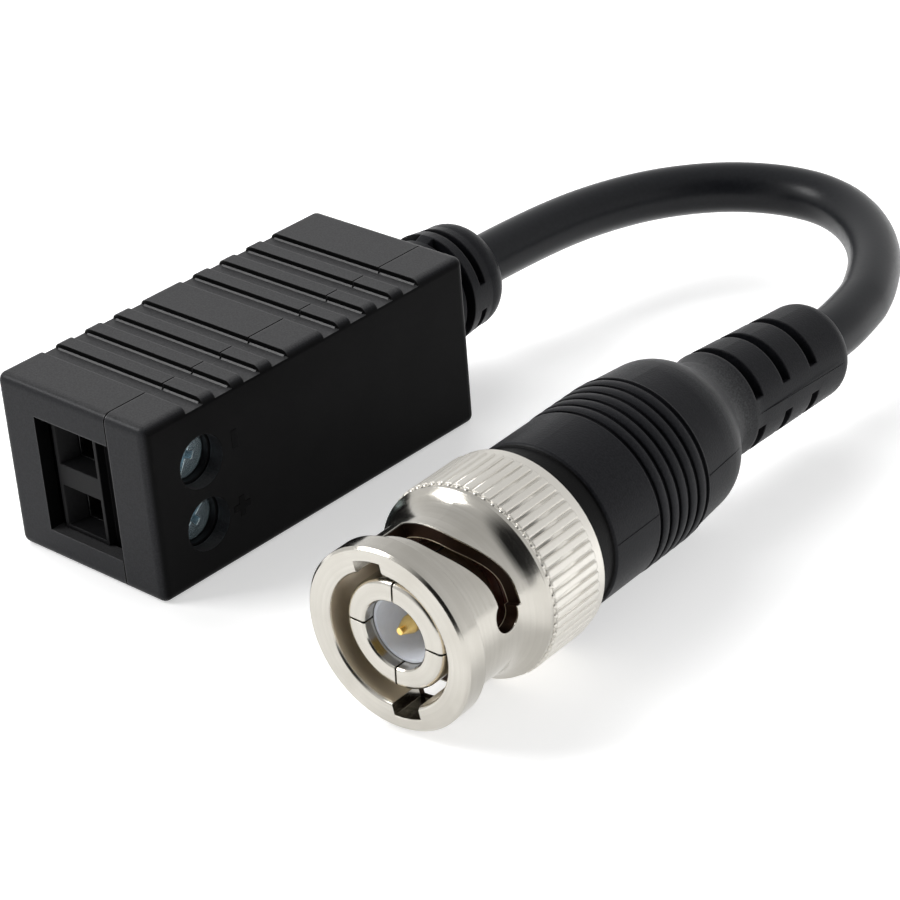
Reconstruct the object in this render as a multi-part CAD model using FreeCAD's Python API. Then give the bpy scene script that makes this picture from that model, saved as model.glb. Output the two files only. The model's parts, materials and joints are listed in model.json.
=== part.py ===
import FreeCAD, Part
import math
import os

# Video balun: a small two-shell box with two screw terminals on one end, and a
# short pigtail with a bayonet video plug on the other.
# Millimetres, +Z up. The origin is the centre of the box's underside, the box is
# long in Y, its wire entries face -Y, its screws face +X and its cable leaves at +Y.

os.makedirs("parts", exist_ok=True)
Vector = FreeCAD.Vector

# Box
box_width = 15.6
box_length = 33.2
box_height = 14.2
wall = 1.2
edge_radius = 0.7
inner_radius = 0.4
cover_depth = 4.05
lap_depth = 0.8
lap_thickness = 0.5
seam_width = 0.12
seam_depth = 0.12
fit_gap = 0.05
mould_gap = 0.03
pad_gap = 0.02
cut_overlap = 0.1

# Channels across the top of the box
channel_width = 1.65
channel_depth = 0.5
channel_pitch = 2.85
channels_per_group = 4
first_channel_from_end = 5.75
second_group_from_end = 19.6

# Window in the terminal end
window_side_gap = 0.77
window_gap_low = 0.08
window_gap_high = 0.2

# Circuit board, lying against posts on the body's long wall
board_thickness = 1.0
board_stand = 0.6
board_end_gap = 0.2
board_edge_gap = 0.3
post_side = 1.6

# Terminal block and its two poles
pole_pitch = 5.08
pole_below_middle = 0.15
block_side_gap = 0.6
block_setback = 1.6
block_back_wall = 1.4
block_top_gap = 0.2
frame_proud = 0.75
frame_rim = 0.3
entry_width = 3.4
entry_height = 4.1
entry_wall = 0.7
cage_length = 5.2
cage_width = 3.8
cage_side = 0.5
cage_floor = 0.6
cage_corner_radius = 0.18
cage_top = 1.05
cage_opening = 3.3
cage_travel = 2.4
strip_thickness = 0.45
strip_width = 2.2
leg_width = 1.0
leg_below_board = 0.25
screw_radius = 1.25
thread_gap = 0.04
head_radius = 1.88
head_height = 0.9
shoulder = 0.3
screw_hole_gap = 0.17
screw_recess = 1.95
recess_depth = 0.5
recess_width = 0.55
cross_length = 1.9
cross_extra_depth = 0.2
slot_angle_upper = 62.0
slot_angle_lower = 40.0

# Balun transformer and the small parts on the board
core_outer_radius = 3.4
core_inner_radius = 1.7
core_height = 3.0
core_from_block = 7.3
wire_thickness = 0.36
turns_per_winding = 5
turn_spread = 30.0
suppressor_size = (2.2, 4.4, 3.6)
suppressor_from_end = 5.5
suppressor_below_middle = 3.2
suppressor_lead = (0.4, 1.0, 1.8)
suppressor_corner_radius = 0.15
capacitor_size = (0.8, 1.25, 2.0)
capacitors_from_block = 1.9
capacitor_heights = (-2.7, 2.3)

# Cable, and the relief moulded round it at the box
cable_diameter = 4.2
cable_above_middle = 0.4
cable_straight = 2.9
core_radius = 0.7
lead_bend = 2.0
signal_pad_from_back = 4.6
screen_radius = 0.5
screen_offset = 1.7
relief_radius = 4.65
relief_collar_radius = 4.4
relief_end_radius = 4.35
relief_neck_from_seam = 0.65
relief_flange = 1.0
relief_length = 8.95
relief_round_start = 6.7
relief_end_lip = 0.7
relief_side_slot = 3.55
relief_cross_slot = 5.2
relief_slot_width = 0.7
relief_slot_over_cable = 0.6
relief_side_slot_angles = (8.0, 172.0)
relief_cross_slot_angles = (-76.0, 76.0)

# Free cable, from the relief to the plug, as corners of its route
cable_corners = [
    (0.0, 34.2, 7.5),
    (1.9, 43.2, 7.25),
    (5.55, 48.9, 7.05),
    (10.2, 52.2, 6.85),
    (15.3, 53.0, 6.7),
    (20.1, 50.9, 6.55),
    (24.3, 46.5, 6.45),
    (27.75, 40.6, 6.45),
    (28.9, 37.2, 6.48),
]

# Plug: stations run back from the front of the coupling nut along the plug's axis
plug_front = (31.93, -18.63)
plug_yaw = 3.44
jack_space = 0.85
nut_bore_round = 0.3
rim_height = 0.72
rim_length = 1.75
rim_bevel = 0.2
rim_fillet = 0.55
neck_wall = 1.1
neck_end = 6.1
shoulder_end = 8.2
shoulder_wall = 1.0
knurl_start = 8.7
knurl_rear_band = 1.0
knurl_over_shoulder = 0.15
knurl_depth = 0.26
knurl_teeth = 60
nut_length = 14.3
nut_counterbore_step = 1.2
nut_travel = 0.6
running_gap = 0.07
entry_angle = -12.0
entry_lug_width = 2.3
entry_skin = 0.25
slot_front_station = 4.15
slot_back_station = 5.65
slot_half_width = 1.0
ramp_start_angle = 12.0
ramp_end_angle = 64.0
detent_angle = 80.0
detent_station = 5.2
detent_radius = 1.1

sleeve_front = 0.7
sleeve_radius = 4.05
sleeve_round = 0.45
sleeve_bore_radius = 2.5
sleeve_lead_in = 0.12
sleeve_slit = 0.15
sleeve_slit_end = 6.2
sleeve_slit_angle = 3.0
flange_front = 8.2
flange_length = 1.1
barrel_over_sleeve = 0.35
barrel_past_nut = 2.7
stem_wall = 0.75
stem_length = 9.0
gasket_length = 1.0
gasket_gap = 0.06
insulator_front = 1.65
insulator_cup_wall = 0.22
insulator_floor_wall = 0.6
insulator_floor = 5.2
insulator_seat = 2.0
pin_radius = 0.64
pin_tip = 1.29
pin_tip_radius = 0.25
pin_cone_end = 2.3
spring_height = 0.6
spring_thickness = 0.2
spring_waves = 3
spring_space = 1.35
washer_thickness = 0.5
snap_thickness = 0.7
snap_grip = 0.25
snap_width = 0.9
snap_opening = 40.0
braid_space = 0.2
ferrule_wall = 0.6
ferrule_gap = 0.3
plug_core_radius = 1.1

boot_collar_play = 0.7
boot_collar_gap = 0.15
boot_gap = 0.15
boot_nose_step = 0.15
boot_nose_length = 1.85
boot_grip_step = 0.4
boot_edge_round = 0.15
grip_groove_first = 7.15
grip_groove_pitch = 1.1
grip_groove_count = 6
grip_groove_width = 0.42
grip_groove_depth = 0.28
boot_shoulder = [(13.0, 0.08), (16.8, 0.42), (17.6, 0.62, 18.3, 0.98), (19.6, 1.92)]
boot_waist = (20.3, 0.12)
boot_waist_depth = 0.25
boot_waist_end = 21.2
boot_tail_start = 22.6
boot_tail_wall = 2.02
boot_tail_end_wall = 1.7
boot_end_round = 1.6
boot_end_lip = 0.2
boot_length = 35.35
tail_bend = 21.2
tail_droop = 2.5
tail_swing = 2.85
tail_slot_first = 22.8
tail_slot_pitch = 3.43
tail_slot_count = 3
tail_slot_width = 0.92
tail_slot_over_cable = 0.4
tail_slot_top = (-74.0, 68.0)
tail_slot_low = (100.0, 254.0)

# Places that follow from the sizes above
left = -box_width / 2
right = box_width / 2
front = -box_length / 2
back = box_length / 2
seam = right - cover_depth
board_back = left + wall + board_stand
board_front = board_back + board_thickness
board_end = back - wall - board_end_gap
block_top = right - wall - block_top_gap
block_front = front + block_setback
cage_front = block_front + entry_wall + fit_gap
cage_back = cage_front + cage_length
screw_y = (cage_front + cage_back) / 2
head_high = right - screw_recess
head_low = head_high - head_height
cavity_high = head_low - fit_gap - shoulder
cage_high = cavity_high - fit_gap - cage_travel
cage_inner_high = cage_high - cage_top
cage_inner_low = cage_inner_high - cage_opening
cage_low = cage_inner_low - cage_floor
cavity_low = cage_low - fit_gap
entry_high = cage_inner_high
entry_low = entry_high - entry_height
strip_high = cage_inner_high - fit_gap
strip_low = strip_high - strip_thickness
leg_front = cage_back + 2 * fit_gap
leg_back = leg_front + strip_thickness
block_back = leg_back + block_back_wall
block_low = wall + block_side_gap
block_high = box_height - wall - block_side_gap
pole_centre_height = box_height / 2 - pole_below_middle
pole_heights = {
    "upper": pole_centre_height + pole_pitch / 2,
    "lower": pole_centre_height - pole_pitch / 2,
}
frame_low = pole_heights["lower"] - entry_width / 2 - frame_rim
frame_high = pole_heights["upper"] + entry_width / 2 + frame_rim
window_low = frame_low - window_gap_low
window_high = frame_high + window_gap_high
window_left = entry_low - frame_rim - window_side_gap
slot_angles = {"upper": slot_angle_upper, "lower": slot_angle_lower}
cable_radius = cable_diameter / 2
cable_height = box_height / 2 + cable_above_middle
signal_pad_y = back - signal_pad_from_back
relief_back = back + relief_length
relief_neck_radius = seam - relief_neck_from_seam
nut_bore_radius = sleeve_radius + jack_space
neck_radius = nut_bore_radius + neck_wall
rim_radius = neck_radius + rim_height
entry_lug_radius = neck_radius - entry_skin
nut_counterbore_radius = nut_bore_radius + nut_counterbore_step
shoulder_radius = nut_counterbore_radius + shoulder_wall
knurl_radius = shoulder_radius + knurl_over_shoulder
knurl_end = nut_length - knurl_rear_band
plug_height = knurl_radius + 0.01
flange_radius = nut_counterbore_radius - running_gap
flange_back = flange_front + flange_length
nut_shoulder = flange_front - fit_gap
barrel_radius = sleeve_radius + barrel_over_sleeve
barrel_end = nut_length + barrel_past_nut
insulator_end = barrel_end - insulator_seat
stem_end = barrel_end + stem_length
stem_radius = plug_core_radius + fit_gap + stem_wall
ferrule_inner_radius = stem_radius + braid_space
ferrule_outer_radius = ferrule_inner_radius + ferrule_wall
washer_front = flange_back + spring_space
washer_back = washer_front + washer_thickness
snap_front = washer_back + fit_gap
snap_back = snap_front + snap_thickness
boot_front = nut_length + boot_gap
boot_end = boot_front + boot_length
boot_nose_radius = nut_counterbore_radius + boot_nose_step
boot_grip_radius = nut_counterbore_radius + boot_grip_step
yaw = math.radians(plug_yaw)
tail_pivot = boot_front + tail_bend

# How far in from its square corner a quarter-round passes, as a share of its radius
belly = 1 - math.sqrt(0.5)


def block(x_range, y_range, z_range):
    """A box between two limits along each axis."""
    size = [high - low for low, high in (x_range, y_range, z_range)]
    return Part.makeBox(*size, Vector(x_range[0], y_range[0], z_range[0]))


def rod(start, axis, radius, length):
    return Part.makeCylinder(radius, length, Vector(*start), Vector(*axis))


def outline(points):
    """A closed wire in the plane of station (Z) and radius (X).

    A pair is a straight line to a point; four numbers are an arc through a
    middle point to an end point.
    """
    edges = []
    here = Vector(points[0][1], 0, points[0][0])
    for step in list(points[1:]) + [points[0]]:
        there = Vector(step[-1], 0, step[-2])
        if (there - here).Length < 1e-6:
            continue
        if len(step) == 4:
            middle = Vector(step[1], 0, step[0])
            edges.append(Part.Arc(here, middle, there).toShape())
        else:
            edges.append(Part.LineSegment(here, there).toShape())
        here = there
    return Part.Wire(edges)


def turned(points):
    """Revolves an outline of stations and radii about the Z axis."""
    return Part.Face(outline(points)).revolve(Vector(0, 0, 0), Vector(0, 0, 1), 360)


def ring(inner, outer, start, end):
    return turned([(start, inner), (start, outer), (end, outer), (end, inner)])


def sector(inner, outer, start, end, from_angle, to_angle):
    """Part of a ring, between two angles about the Z axis."""
    corners = [(start, inner), (start, outer), (end, outer), (end, inner)]
    face = Part.Face(outline(corners))
    face.rotate(Vector(0, 0, 0), Vector(0, 0, 1), from_angle)
    return face.revolve(Vector(0, 0, 0), Vector(0, 0, 1), to_angle - from_angle)


def ruled_solid(edges):
    """The solid between four edges that run side by side, closed or with flat ends."""
    faces = [Part.makeRuledSurface(a, b) for a, b in zip(edges, edges[1:] + edges[:1])]
    if not edges[0].isClosed():
        for end in (0, -1):
            corners = [e.Vertexes[end].Point for e in edges]
            faces.append(Part.Face(Part.makePolygon(corners + corners[:1])))
    shell = Part.makeShell(faces)
    shell.sewShape()
    solid = Part.makeSolid(shell)
    if solid.Volume < 0:
        solid.reverse()
    return solid


def rounded(start_radius, end_radius, start, end):
    """An outline step: a quarter-round end from one station to the next."""
    turn = math.sqrt(0.5)
    middle_station = start + (end - start) * turn
    middle_radius = end_radius + (start_radius - end_radius) * turn
    return (middle_station, middle_radius, end, end_radius)


plug_place = FreeCAD.Matrix(
    0, math.cos(yaw), -math.sin(yaw), plug_front[0],
    0, math.sin(yaw), math.cos(yaw), plug_front[1],
    1, 0, 0, plug_height,
    0, 0, 0, 1,
)


def on_plug(shape):
    """Moves a shape made on the Z axis to the plug's axis, with its X axis up."""
    return shape.transformed(plug_place)


# The boot's tail hangs a little and swings away from the box
tail_direction = Vector(-math.sin(math.radians(tail_droop)), math.sin(math.radians(tail_swing)), 1)
tail_axis = Vector(-tail_direction.y, tail_direction.x, 0)
tail_angle = math.degrees(tail_direction.getAngle(Vector(0, 0, 1)))
tail_turn = FreeCAD.Rotation(tail_axis, tail_angle)


def on_tail(station):
    """A point on the bent axis of the boot's tail."""
    along = tail_turn.multVec(Vector(0, 0, station - tail_pivot))
    return plug_place.multVec(Vector(0, 0, tail_pivot) + along)


def bent(shape):
    """Bends a shape made on the Z axis at the tail's pivot, with a mitre between its halves."""
    pivot = Vector(0, 0, tail_pivot)
    reach = 2 * boot_length
    before = rod((0, 0, tail_pivot - reach), (0, 0, 1), reach, reach)
    before.rotate(pivot, tail_axis, tail_angle / 2)
    after = rod((0, 0, tail_pivot), (0, 0, 1), reach, reach)
    after.rotate(pivot, tail_axis, -tail_angle / 2)
    tail = shape.common(after)
    tail.rotate(pivot, tail_axis, tail_angle)
    return shape.common(before).fuse(tail).removeSplitter()


def on_relief(shape):
    """Moves a shape made on the Z axis to the box's cable outlet, with its X axis up."""
    place = FreeCAD.Matrix(0, 1, 0, 0, 0, 0, 1, back, 1, 0, 0, cable_height, 0, 0, 0, 1)
    return shape.transformed(place)


def save(name, shape):
    if not shape.isValid():
        raise ValueError(name + " is not valid")
    shape.exportStep("parts/" + name + ".step")
    print(name, "solids", len(shape.Solids), "volume", round(shape.Volume, 2))


# Box shells

def rounded_box(inset, radius, edges_along_x_only):
    solid = block((left + inset, right - inset), (front + inset, back - inset),
                  (inset, box_height - inset))
    if edges_along_x_only:
        edges = [e for e in solid.Edges if abs(e.tangentAt(0).x) > 0.9]
    else:
        edges = solid.Edges
    return solid.makeFillet(radius, edges)


def top_channels():
    shapes = []
    for first in (first_channel_from_end, second_group_from_end):
        for number in range(channels_per_group):
            far = front + first + number * channel_pitch
            near = far - channel_width
            shapes.append(block((left - 1, right + 1), (near, far),
                                (box_height - channel_depth, box_height + 1)))
    return shapes


def seam_groove():
    slab = block((seam - seam_width / 2, seam + seam_width / 2),
                 (front - 1, back + 1), (-1, box_height + 1))
    return slab.cut(rounded_box(seam_depth, edge_radius, True))


outer_box = rounded_box(0, edge_radius, False)
hollow = rounded_box(wall, inner_radius, True)
window = block((window_left, seam), (front - 1, front + wall + 1),
               (window_low, window_high))
outlet = rod((0, back - wall - 1, cable_height), (0, 1, 0),
             relief_neck_radius + fit_gap, wall + 2)


def lap(side_gap):
    """The tongue zone inside the seam, as thick as the tongue plus a gap."""
    zone = rounded_box(wall - lap_thickness - side_gap, edge_radius, True)
    slab = block((seam - lap_depth - side_gap, seam), (front, back), (0, box_height))
    return zone.common(slab)


def make_housing_body():
    shell = outer_box.common(block((left, seam), (front, back), (0, box_height)))
    shell = shell.cut(hollow)
    shell = shell.cut(lap(fit_gap))
    for y in (front + 2 * wall + post_side, back - 2 * wall - post_side):
        for z in (wall, box_height - wall - post_side):
            post = block((left + wall / 2, board_back), (y - post_side / 2, y + post_side / 2),
                         (z, z + post_side))
            shell = shell.fuse(post)
    return shell.cut(top_channels() + [window, outlet, seam_groove()]).removeSplitter()


def make_housing_cover():
    shell = outer_box.common(block((seam, right), (front, back), (0, box_height)))
    tongue = lap(0).cut(block((left, right), (front, front + 2 * wall),
                              (window_low - fit_gap, window_high + fit_gap)))
    tongue = tongue.cut(rod((0, back - 2 * wall, cable_height), (0, 1, 0),
                            relief_radius + fit_gap, 3 * wall))
    shell = shell.fuse(tongue).cut(hollow)
    for height in pole_heights.values():
        shell = shell.cut(rod((seam, screw_y, height), (1, 0, 0),
                              head_radius + screw_hole_gap, cover_depth + 1))
    return shell.cut(top_channels() + [seam_groove()]).removeSplitter()


# Circuit board and what stands on it

def make_circuit_board():
    board = block((board_back, board_front),
                  (front + wall + board_end_gap, board_end),
                  (wall + board_edge_gap, box_height - wall - board_edge_gap))
    for height in pole_heights.values():
        board = board.cut(rod((left, (leg_front + leg_back) / 2, height), (1, 0, 0),
                              leg_width / 2 + 2 * fit_gap, box_width))
    return board


def make_funnel(height):
    """A wire entry, which narrows from the block's frame to the inside of the cage."""
    inside = cage_width / 2 - cage_side
    ends = ((block_front - frame_proud - cut_overlap, entry_low, entry_width / 2),
            (cage_front, cage_inner_low, inside))
    wires = []
    for y, low, half in ends:
        corners = [Vector(low, y, height - half), Vector(entry_high, y, height - half),
                   Vector(entry_high, y, height + half), Vector(low, y, height + half)]
        wires.append(Part.makePolygon(corners + corners[:1]))
    return Part.makeLoft(wires, True, True)


def make_terminal_block():
    body = block((board_front, block_top), (block_front, block_back), (block_low, block_high))
    body = body.fuse(block((entry_low - frame_rim, entry_high + frame_rim),
                           (block_front - frame_proud, block_front), (frame_low, frame_high)))
    cuts = []
    for height in pole_heights.values():
        cuts.append(make_funnel(height))
        half_cage = cage_width / 2 + fit_gap
        cuts.append(block((cavity_low, cavity_high), (cage_front - fit_gap, cage_back + fit_gap),
                          (height - half_cage, height + half_cage)))
        half_strip = strip_width / 2 + fit_gap
        cuts.append(block((strip_low - fit_gap, strip_high + fit_gap),
                          (cage_back, leg_back + fit_gap), (height - half_strip, height + half_strip)))
        half_leg = leg_width / 2 + fit_gap
        cuts.append(block((board_front, strip_high), (leg_front - fit_gap, leg_back + fit_gap),
                          (height - half_leg, height + half_leg)))
        cuts.append(rod((cavity_high - cut_overlap, screw_y, height), (1, 0, 0),
                        screw_radius + 2 * fit_gap, box_width))
        cuts.append(rod((head_low - fit_gap, screw_y, height), (1, 0, 0),
                        head_radius + running_gap, box_width))
    return body.cut(cuts).removeSplitter()


def make_strip(height):
    half = strip_width / 2
    tongue = block((strip_low, strip_high), (cage_front, leg_back), (height - half, height + half))
    leg = block((board_back - leg_below_board, strip_high), (leg_front, leg_back),
                (height - leg_width / 2, height + leg_width / 2))
    return tongue.fuse(leg).removeSplitter()


def make_cage(height):
    half = cage_width / 2
    cage = block((cage_low, cage_high), (cage_front, cage_back), (height - half, height + half))
    corners = [e for e in cage.Edges if abs(e.tangentAt(0).y) > 0.9]
    cage = cage.makeFillet(cage_corner_radius, corners)
    inside = half - cage_side
    cage = cage.cut(block((cage_inner_low, cage_inner_high), (front, back),
                          (height - inside, height + inside)))
    return cage.cut(rod((cage_inner_high - cut_overlap, screw_y, height), (1, 0, 0),
                        screw_radius + thread_gap, box_width))


def make_screw(height, slot_angle):
    axis = (1, 0, 0)
    tip = strip_high + fit_gap
    screw = rod((tip, screw_y, height), axis, screw_radius, head_low - tip)
    screw = screw.fuse(rod((head_low, screw_y, height), axis, head_radius, head_height))
    floor = head_high - recess_depth
    middle = Vector(head_high, screw_y, height)
    half = recess_width / 2
    long_slot = block((floor, head_high + 1), (screw_y - head_radius - 1, screw_y + head_radius + 1),
                      (height - half, height + half))
    cross = block((floor - cross_extra_depth, head_high + 1), (screw_y - half, screw_y + half),
                  (height - cross_length / 2, height + cross_length / 2))
    for cut in (long_slot, cross):
        cut.rotate(middle, Vector(*axis), slot_angle)
    return screw.cut([long_slot, cross]).removeSplitter()


core_low = board_front + wire_thickness + 2 * fit_gap
core_centre = Vector(core_low, block_back + core_from_block, cable_height)


def make_balun_core():
    core = ring(core_inner_radius, core_outer_radius, 0, core_height)
    core.rotate(Vector(0, 0, 0), Vector(0, 1, 0), 90)
    core.translate(core_centre)
    return core


def make_winding(first_angle):
    """Turns of wire round one half of the core."""
    turns = []
    gap = fit_gap
    wire = wire_thickness
    for number in range(turns_per_winding):
        low = core_inner_radius - gap - wire
        high = core_outer_radius + gap + wire
        turn = block((-wire - gap, core_height + wire + gap), (low, high), (-wire / 2, wire / 2))
        turn = turn.cut(block((-gap, core_height + gap), (low + wire, high - wire), (-wire, wire)))
        turn.rotate(Vector(0, 0, 0), Vector(1, 0, 0), first_angle + number * turn_spread)
        turn.translate(core_centre)
        turns.append(turn)
    return Part.makeCompound(turns)


def on_board(size, place):
    """A small box standing on the board, at a place along Y and Z."""
    height, length, width = size
    y, z = place
    return block((board_front, board_front + height), (y - length / 2, y + length / 2),
                 (z - width / 2, z + width / 2))


def make_surge_suppressor():
    place = (board_end - suppressor_from_end, box_height / 2 - suppressor_below_middle)
    body = on_board(suppressor_size, place)
    above_middle = board_front + 0.75 * suppressor_size[0]
    body = body.makeFillet(suppressor_corner_radius,
                           [e for e in body.Edges if e.CenterOfMass.x > above_middle])
    reach = suppressor_size[1] / 2
    for side in (-1, 1):
        lead = on_board(suppressor_lead, (place[0] + side * (reach + suppressor_lead[1] / 2), place[1]))
        body = body.fuse(lead)
    return body.removeSplitter()


def make_chip_capacitors():
    y = block_back + capacitors_from_block
    return Part.makeCompound([on_board(capacitor_size, (y, box_height / 2 + rise))
                              for rise in capacitor_heights])


def bent_lead(start, turn_at, end_x, radius):
    """A wire along -Y that turns down to the board at end_x."""
    first = Vector(turn_at.x, turn_at.y + lead_bend, turn_at.z)
    last = Vector(turn_at.x - lead_bend, turn_at.y, turn_at.z)
    slant = lead_bend * (1 - math.sqrt(0.5))
    middle = Vector(turn_at.x - slant, turn_at.y + slant, turn_at.z)
    path = Part.Wire([
        Part.LineSegment(start, first).toShape(),
        Part.Arc(first, middle, last).toShape(),
        Part.LineSegment(last, Vector(end_x, turn_at.y, turn_at.z)).toShape(),
    ])
    section = Part.Wire(Part.makeCircle(radius, start, Vector(0, 1, 0)))
    return path.makePipeShell([section], True, True)


relief_inner_face = back - wall - fit_gap - relief_flange


def make_signal_lead():
    start = Vector(0, relief_back, cable_height)
    return bent_lead(start, Vector(0, signal_pad_y, cable_height), board_front + pad_gap, core_radius)


def make_screen_lead():
    height = cable_height + screen_offset
    start = Vector(0, relief_inner_face - pad_gap, height)
    return bent_lead(start, Vector(0, signal_pad_y - lead_bend, height), board_front + pad_gap,
                     screen_radius)


# Cable and its relief at the box

def make_cable_relief():
    flange_end = -wall - fit_gap
    body = turned([
        (relief_inner_face - back, core_radius + mould_gap),
        (relief_inner_face - back, relief_radius),
        (flange_end, relief_radius),
        (flange_end, relief_neck_radius),
        (fit_gap, relief_neck_radius),
        (fit_gap, relief_collar_radius),
        (relief_side_slot, relief_collar_radius),
        (relief_side_slot + relief_slot_width, relief_radius),
        (relief_round_start, relief_end_radius),
        rounded(relief_end_radius, cable_radius + relief_end_lip, relief_round_start, relief_length),
        (relief_length, core_radius + mould_gap),
    ])
    far = relief_radius + 1
    slot_floor = cable_radius + relief_slot_over_cable
    slots = []
    for start, angles in ((relief_side_slot, relief_side_slot_angles),
                          (relief_cross_slot, relief_cross_slot_angles)):
        for half_turn in (0, 180):
            slots.append(sector(slot_floor, far, start, start + relief_slot_width,
                                half_turn + angles[0], half_turn + angles[1]))
    return on_relief(body.cut(slots).removeSplitter())


def make_cable():
    """The free cable: straight runs joined by the largest arcs that they allow."""
    route = [Vector(0, relief_back, cable_height)]
    route += [Vector(*corner) for corner in cable_corners]
    route += [on_tail(boot_end + cable_straight), on_tail(boot_end)]
    edges = []
    radii = []
    here = route[0]
    for before, corner, after in zip(route, route[1:], route[2:]):
        arriving = (corner - before).normalize()
        leaving = (after - corner).normalize()
        half_turn = arriving.getAngle(leaving) / 2
        reach = 0.45 * min((corner - before).Length, (after - corner).Length)
        radii.append(reach / math.tan(half_turn))
        start = corner - arriving * reach
        end = corner + leaving * reach
        inward = (leaving - arriving).normalize()
        middle = corner + inward * (radii[-1] / math.cos(half_turn) - radii[-1])
        edges.append(Part.LineSegment(here, start).toShape())
        edges.append(Part.Arc(start, middle, end).toShape())
        here = end
    edges.append(Part.LineSegment(here, route[-1]).toShape())
    path = Part.Wire(edges)
    section = Part.Wire(Part.makeCircle(cable_radius, route[0], route[1] - route[0]))
    tube = path.makePipeShell([section], True, True)
    expected = math.pi * cable_radius ** 2 * path.Length
    print("cable radii", [round(r, 1) for r in radii], "length", round(path.Length, 2))
    print("cable volume", round(tube.Volume, 2), "section times length", round(expected, 2))
    return tube


# Plug

def lug_slot():
    """The cam slot that a mating lug follows, from its entry to its detent."""
    def centre(angle):
        share = (angle - ramp_start_angle) / (ramp_end_angle - ramp_start_angle)
        share = min(max(share, 0), 1)
        return slot_front_station + (slot_back_station - slot_front_station) * share ** 2 * (3 - 2 * share)

    def point(angle, station, radius):
        turn = math.radians(angle)
        return Vector(radius * math.cos(turn), radius * math.sin(turn), station)

    entry_half = math.degrees(entry_lug_width / 2 / entry_lug_radius)
    first = entry_angle - entry_half
    last = detent_angle - 2
    steps = 12
    angles = [first + (last - first) * n / steps for n in range(steps + 1)]

    def edge(radius, shift):
        curve = Part.BSplineCurve()
        curve.interpolate([point(a, centre(a) + shift, radius) for a in angles])
        return curve.toShape()

    low = nut_bore_radius - 0.6
    high = shoulder_radius + 0.6
    near_low = edge(low, -slot_half_width)
    near_high = edge(high, -slot_half_width)
    rear_low = edge(low, slot_half_width)
    rear_high = edge(high, slot_half_width)
    slot = ruled_solid([near_low, near_high, rear_high, rear_low])
    turn = math.radians(detent_angle)
    outward = (math.cos(turn), math.sin(turn), 0)
    detent = rod((0, 0, detent_station), outward, detent_radius, shoulder_radius + 1)
    return slot.fuse(detent)


def make_coupling_nut():
    corner = rim_radius - rim_bevel
    dish = shoulder_end - neck_end
    rise = shoulder_radius - neck_radius
    dish_radius = (dish ** 2 + rise ** 2) / (2 * rise)
    middle_rise = dish_radius - math.sqrt(dish_radius ** 2 - (dish / 2) ** 2)
    neck_start = rim_length + rim_fillet
    root = knurl_radius - knurl_depth
    body = turned([
        (0, nut_bore_radius + nut_bore_round),
        (0, corner),
        (rim_bevel, rim_radius),
        (rim_length, rim_radius),
        (neck_start - rim_fillet * belly, neck_radius + rim_fillet * belly, neck_start, neck_radius),
        (neck_end, neck_radius),
        ((neck_end + shoulder_end) / 2, neck_radius + middle_rise, shoulder_end, shoulder_radius),
        (knurl_start, shoulder_radius),
        (knurl_start, root),
        (knurl_end, root),
        (knurl_end, shoulder_radius),
        (nut_length - rim_bevel, shoulder_radius),
        (nut_length, shoulder_radius - rim_bevel),
        (nut_length, nut_counterbore_radius),
        (snap_back + fit_gap, nut_counterbore_radius),
        (snap_back + fit_gap, nut_counterbore_radius + snap_grip + fit_gap),
        (snap_front - fit_gap, nut_counterbore_radius + snap_grip + fit_gap),
        (snap_front - fit_gap, nut_counterbore_radius),
        (nut_shoulder, nut_counterbore_radius),
        (nut_shoulder, nut_bore_radius),
        (nut_bore_round, nut_bore_radius),
        (nut_bore_round * belly, nut_bore_radius + nut_bore_round * belly,
         0, nut_bore_radius + nut_bore_round),
    ])
    corners = []
    for tooth in range(knurl_teeth):
        for share, radius in ((0.0, root), (0.2, knurl_radius), (0.8, knurl_radius)):
            turn = 2 * math.pi * (tooth + share) / knurl_teeth
            corners.append(Vector(radius * math.cos(turn), radius * math.sin(turn), knurl_start))
    toothed = Part.Face(Part.makePolygon(corners + corners[:1]))
    toothed = toothed.extrude(Vector(0, 0, knurl_end - knurl_start))
    inside = rod((0, 0, knurl_start), (0, 0, 1), (root + nut_counterbore_radius) / 2,
                 knurl_end - knurl_start)
    toothed = toothed.cut(inside)
    slot = lug_slot()
    half = entry_lug_width / 2
    reach = rod((0, 0, -1), (0, 0, 1), entry_lug_radius, slot_front_station + 1)
    entry = block((0, entry_lug_radius + 1), (-half, half), (-1, slot_front_station)).common(reach)
    entry.rotate(Vector(0, 0, 0), Vector(0, 0, 1), entry_angle)
    for tool in (entry, slot):
        for half_turn in (0, 180):
            turned_tool = tool.copy()
            turned_tool.rotate(Vector(0, 0, 0), Vector(0, 0, 1), half_turn)
            body = body.cut(turned_tool)
    body = body.fuse(toothed)
    return on_plug(body.removeSplitter())


def make_plug_body():
    lip = sleeve_radius - sleeve_round
    body = turned([
        (sleeve_front, sleeve_bore_radius + sleeve_lead_in),
        (sleeve_front, lip),
        (sleeve_front + sleeve_round * belly, sleeve_radius - sleeve_round * belly,
         sleeve_front + sleeve_round, sleeve_radius),
        (flange_front, sleeve_radius),
        (flange_front, flange_radius),
        (flange_back, flange_radius),
        (flange_back, barrel_radius),
        (barrel_end, barrel_radius),
        (barrel_end, stem_radius),
        (stem_end, stem_radius),
        (stem_end, plug_core_radius + fit_gap),
        (insulator_end, plug_core_radius + fit_gap),
        (insulator_end, sleeve_bore_radius),
        (sleeve_front + sleeve_lead_in, sleeve_bore_radius),
    ])
    slits = []
    for number in range(4):
        slit = block((sleeve_bore_radius - 0.5, sleeve_radius + 1), (-sleeve_slit / 2, sleeve_slit / 2),
                     (0, sleeve_slit_end))
        slit.rotate(Vector(0, 0, 0), Vector(0, 0, 1), sleeve_slit_angle + 90 * number)
        slits.append(slit)
    return on_plug(body.cut(slits))


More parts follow.
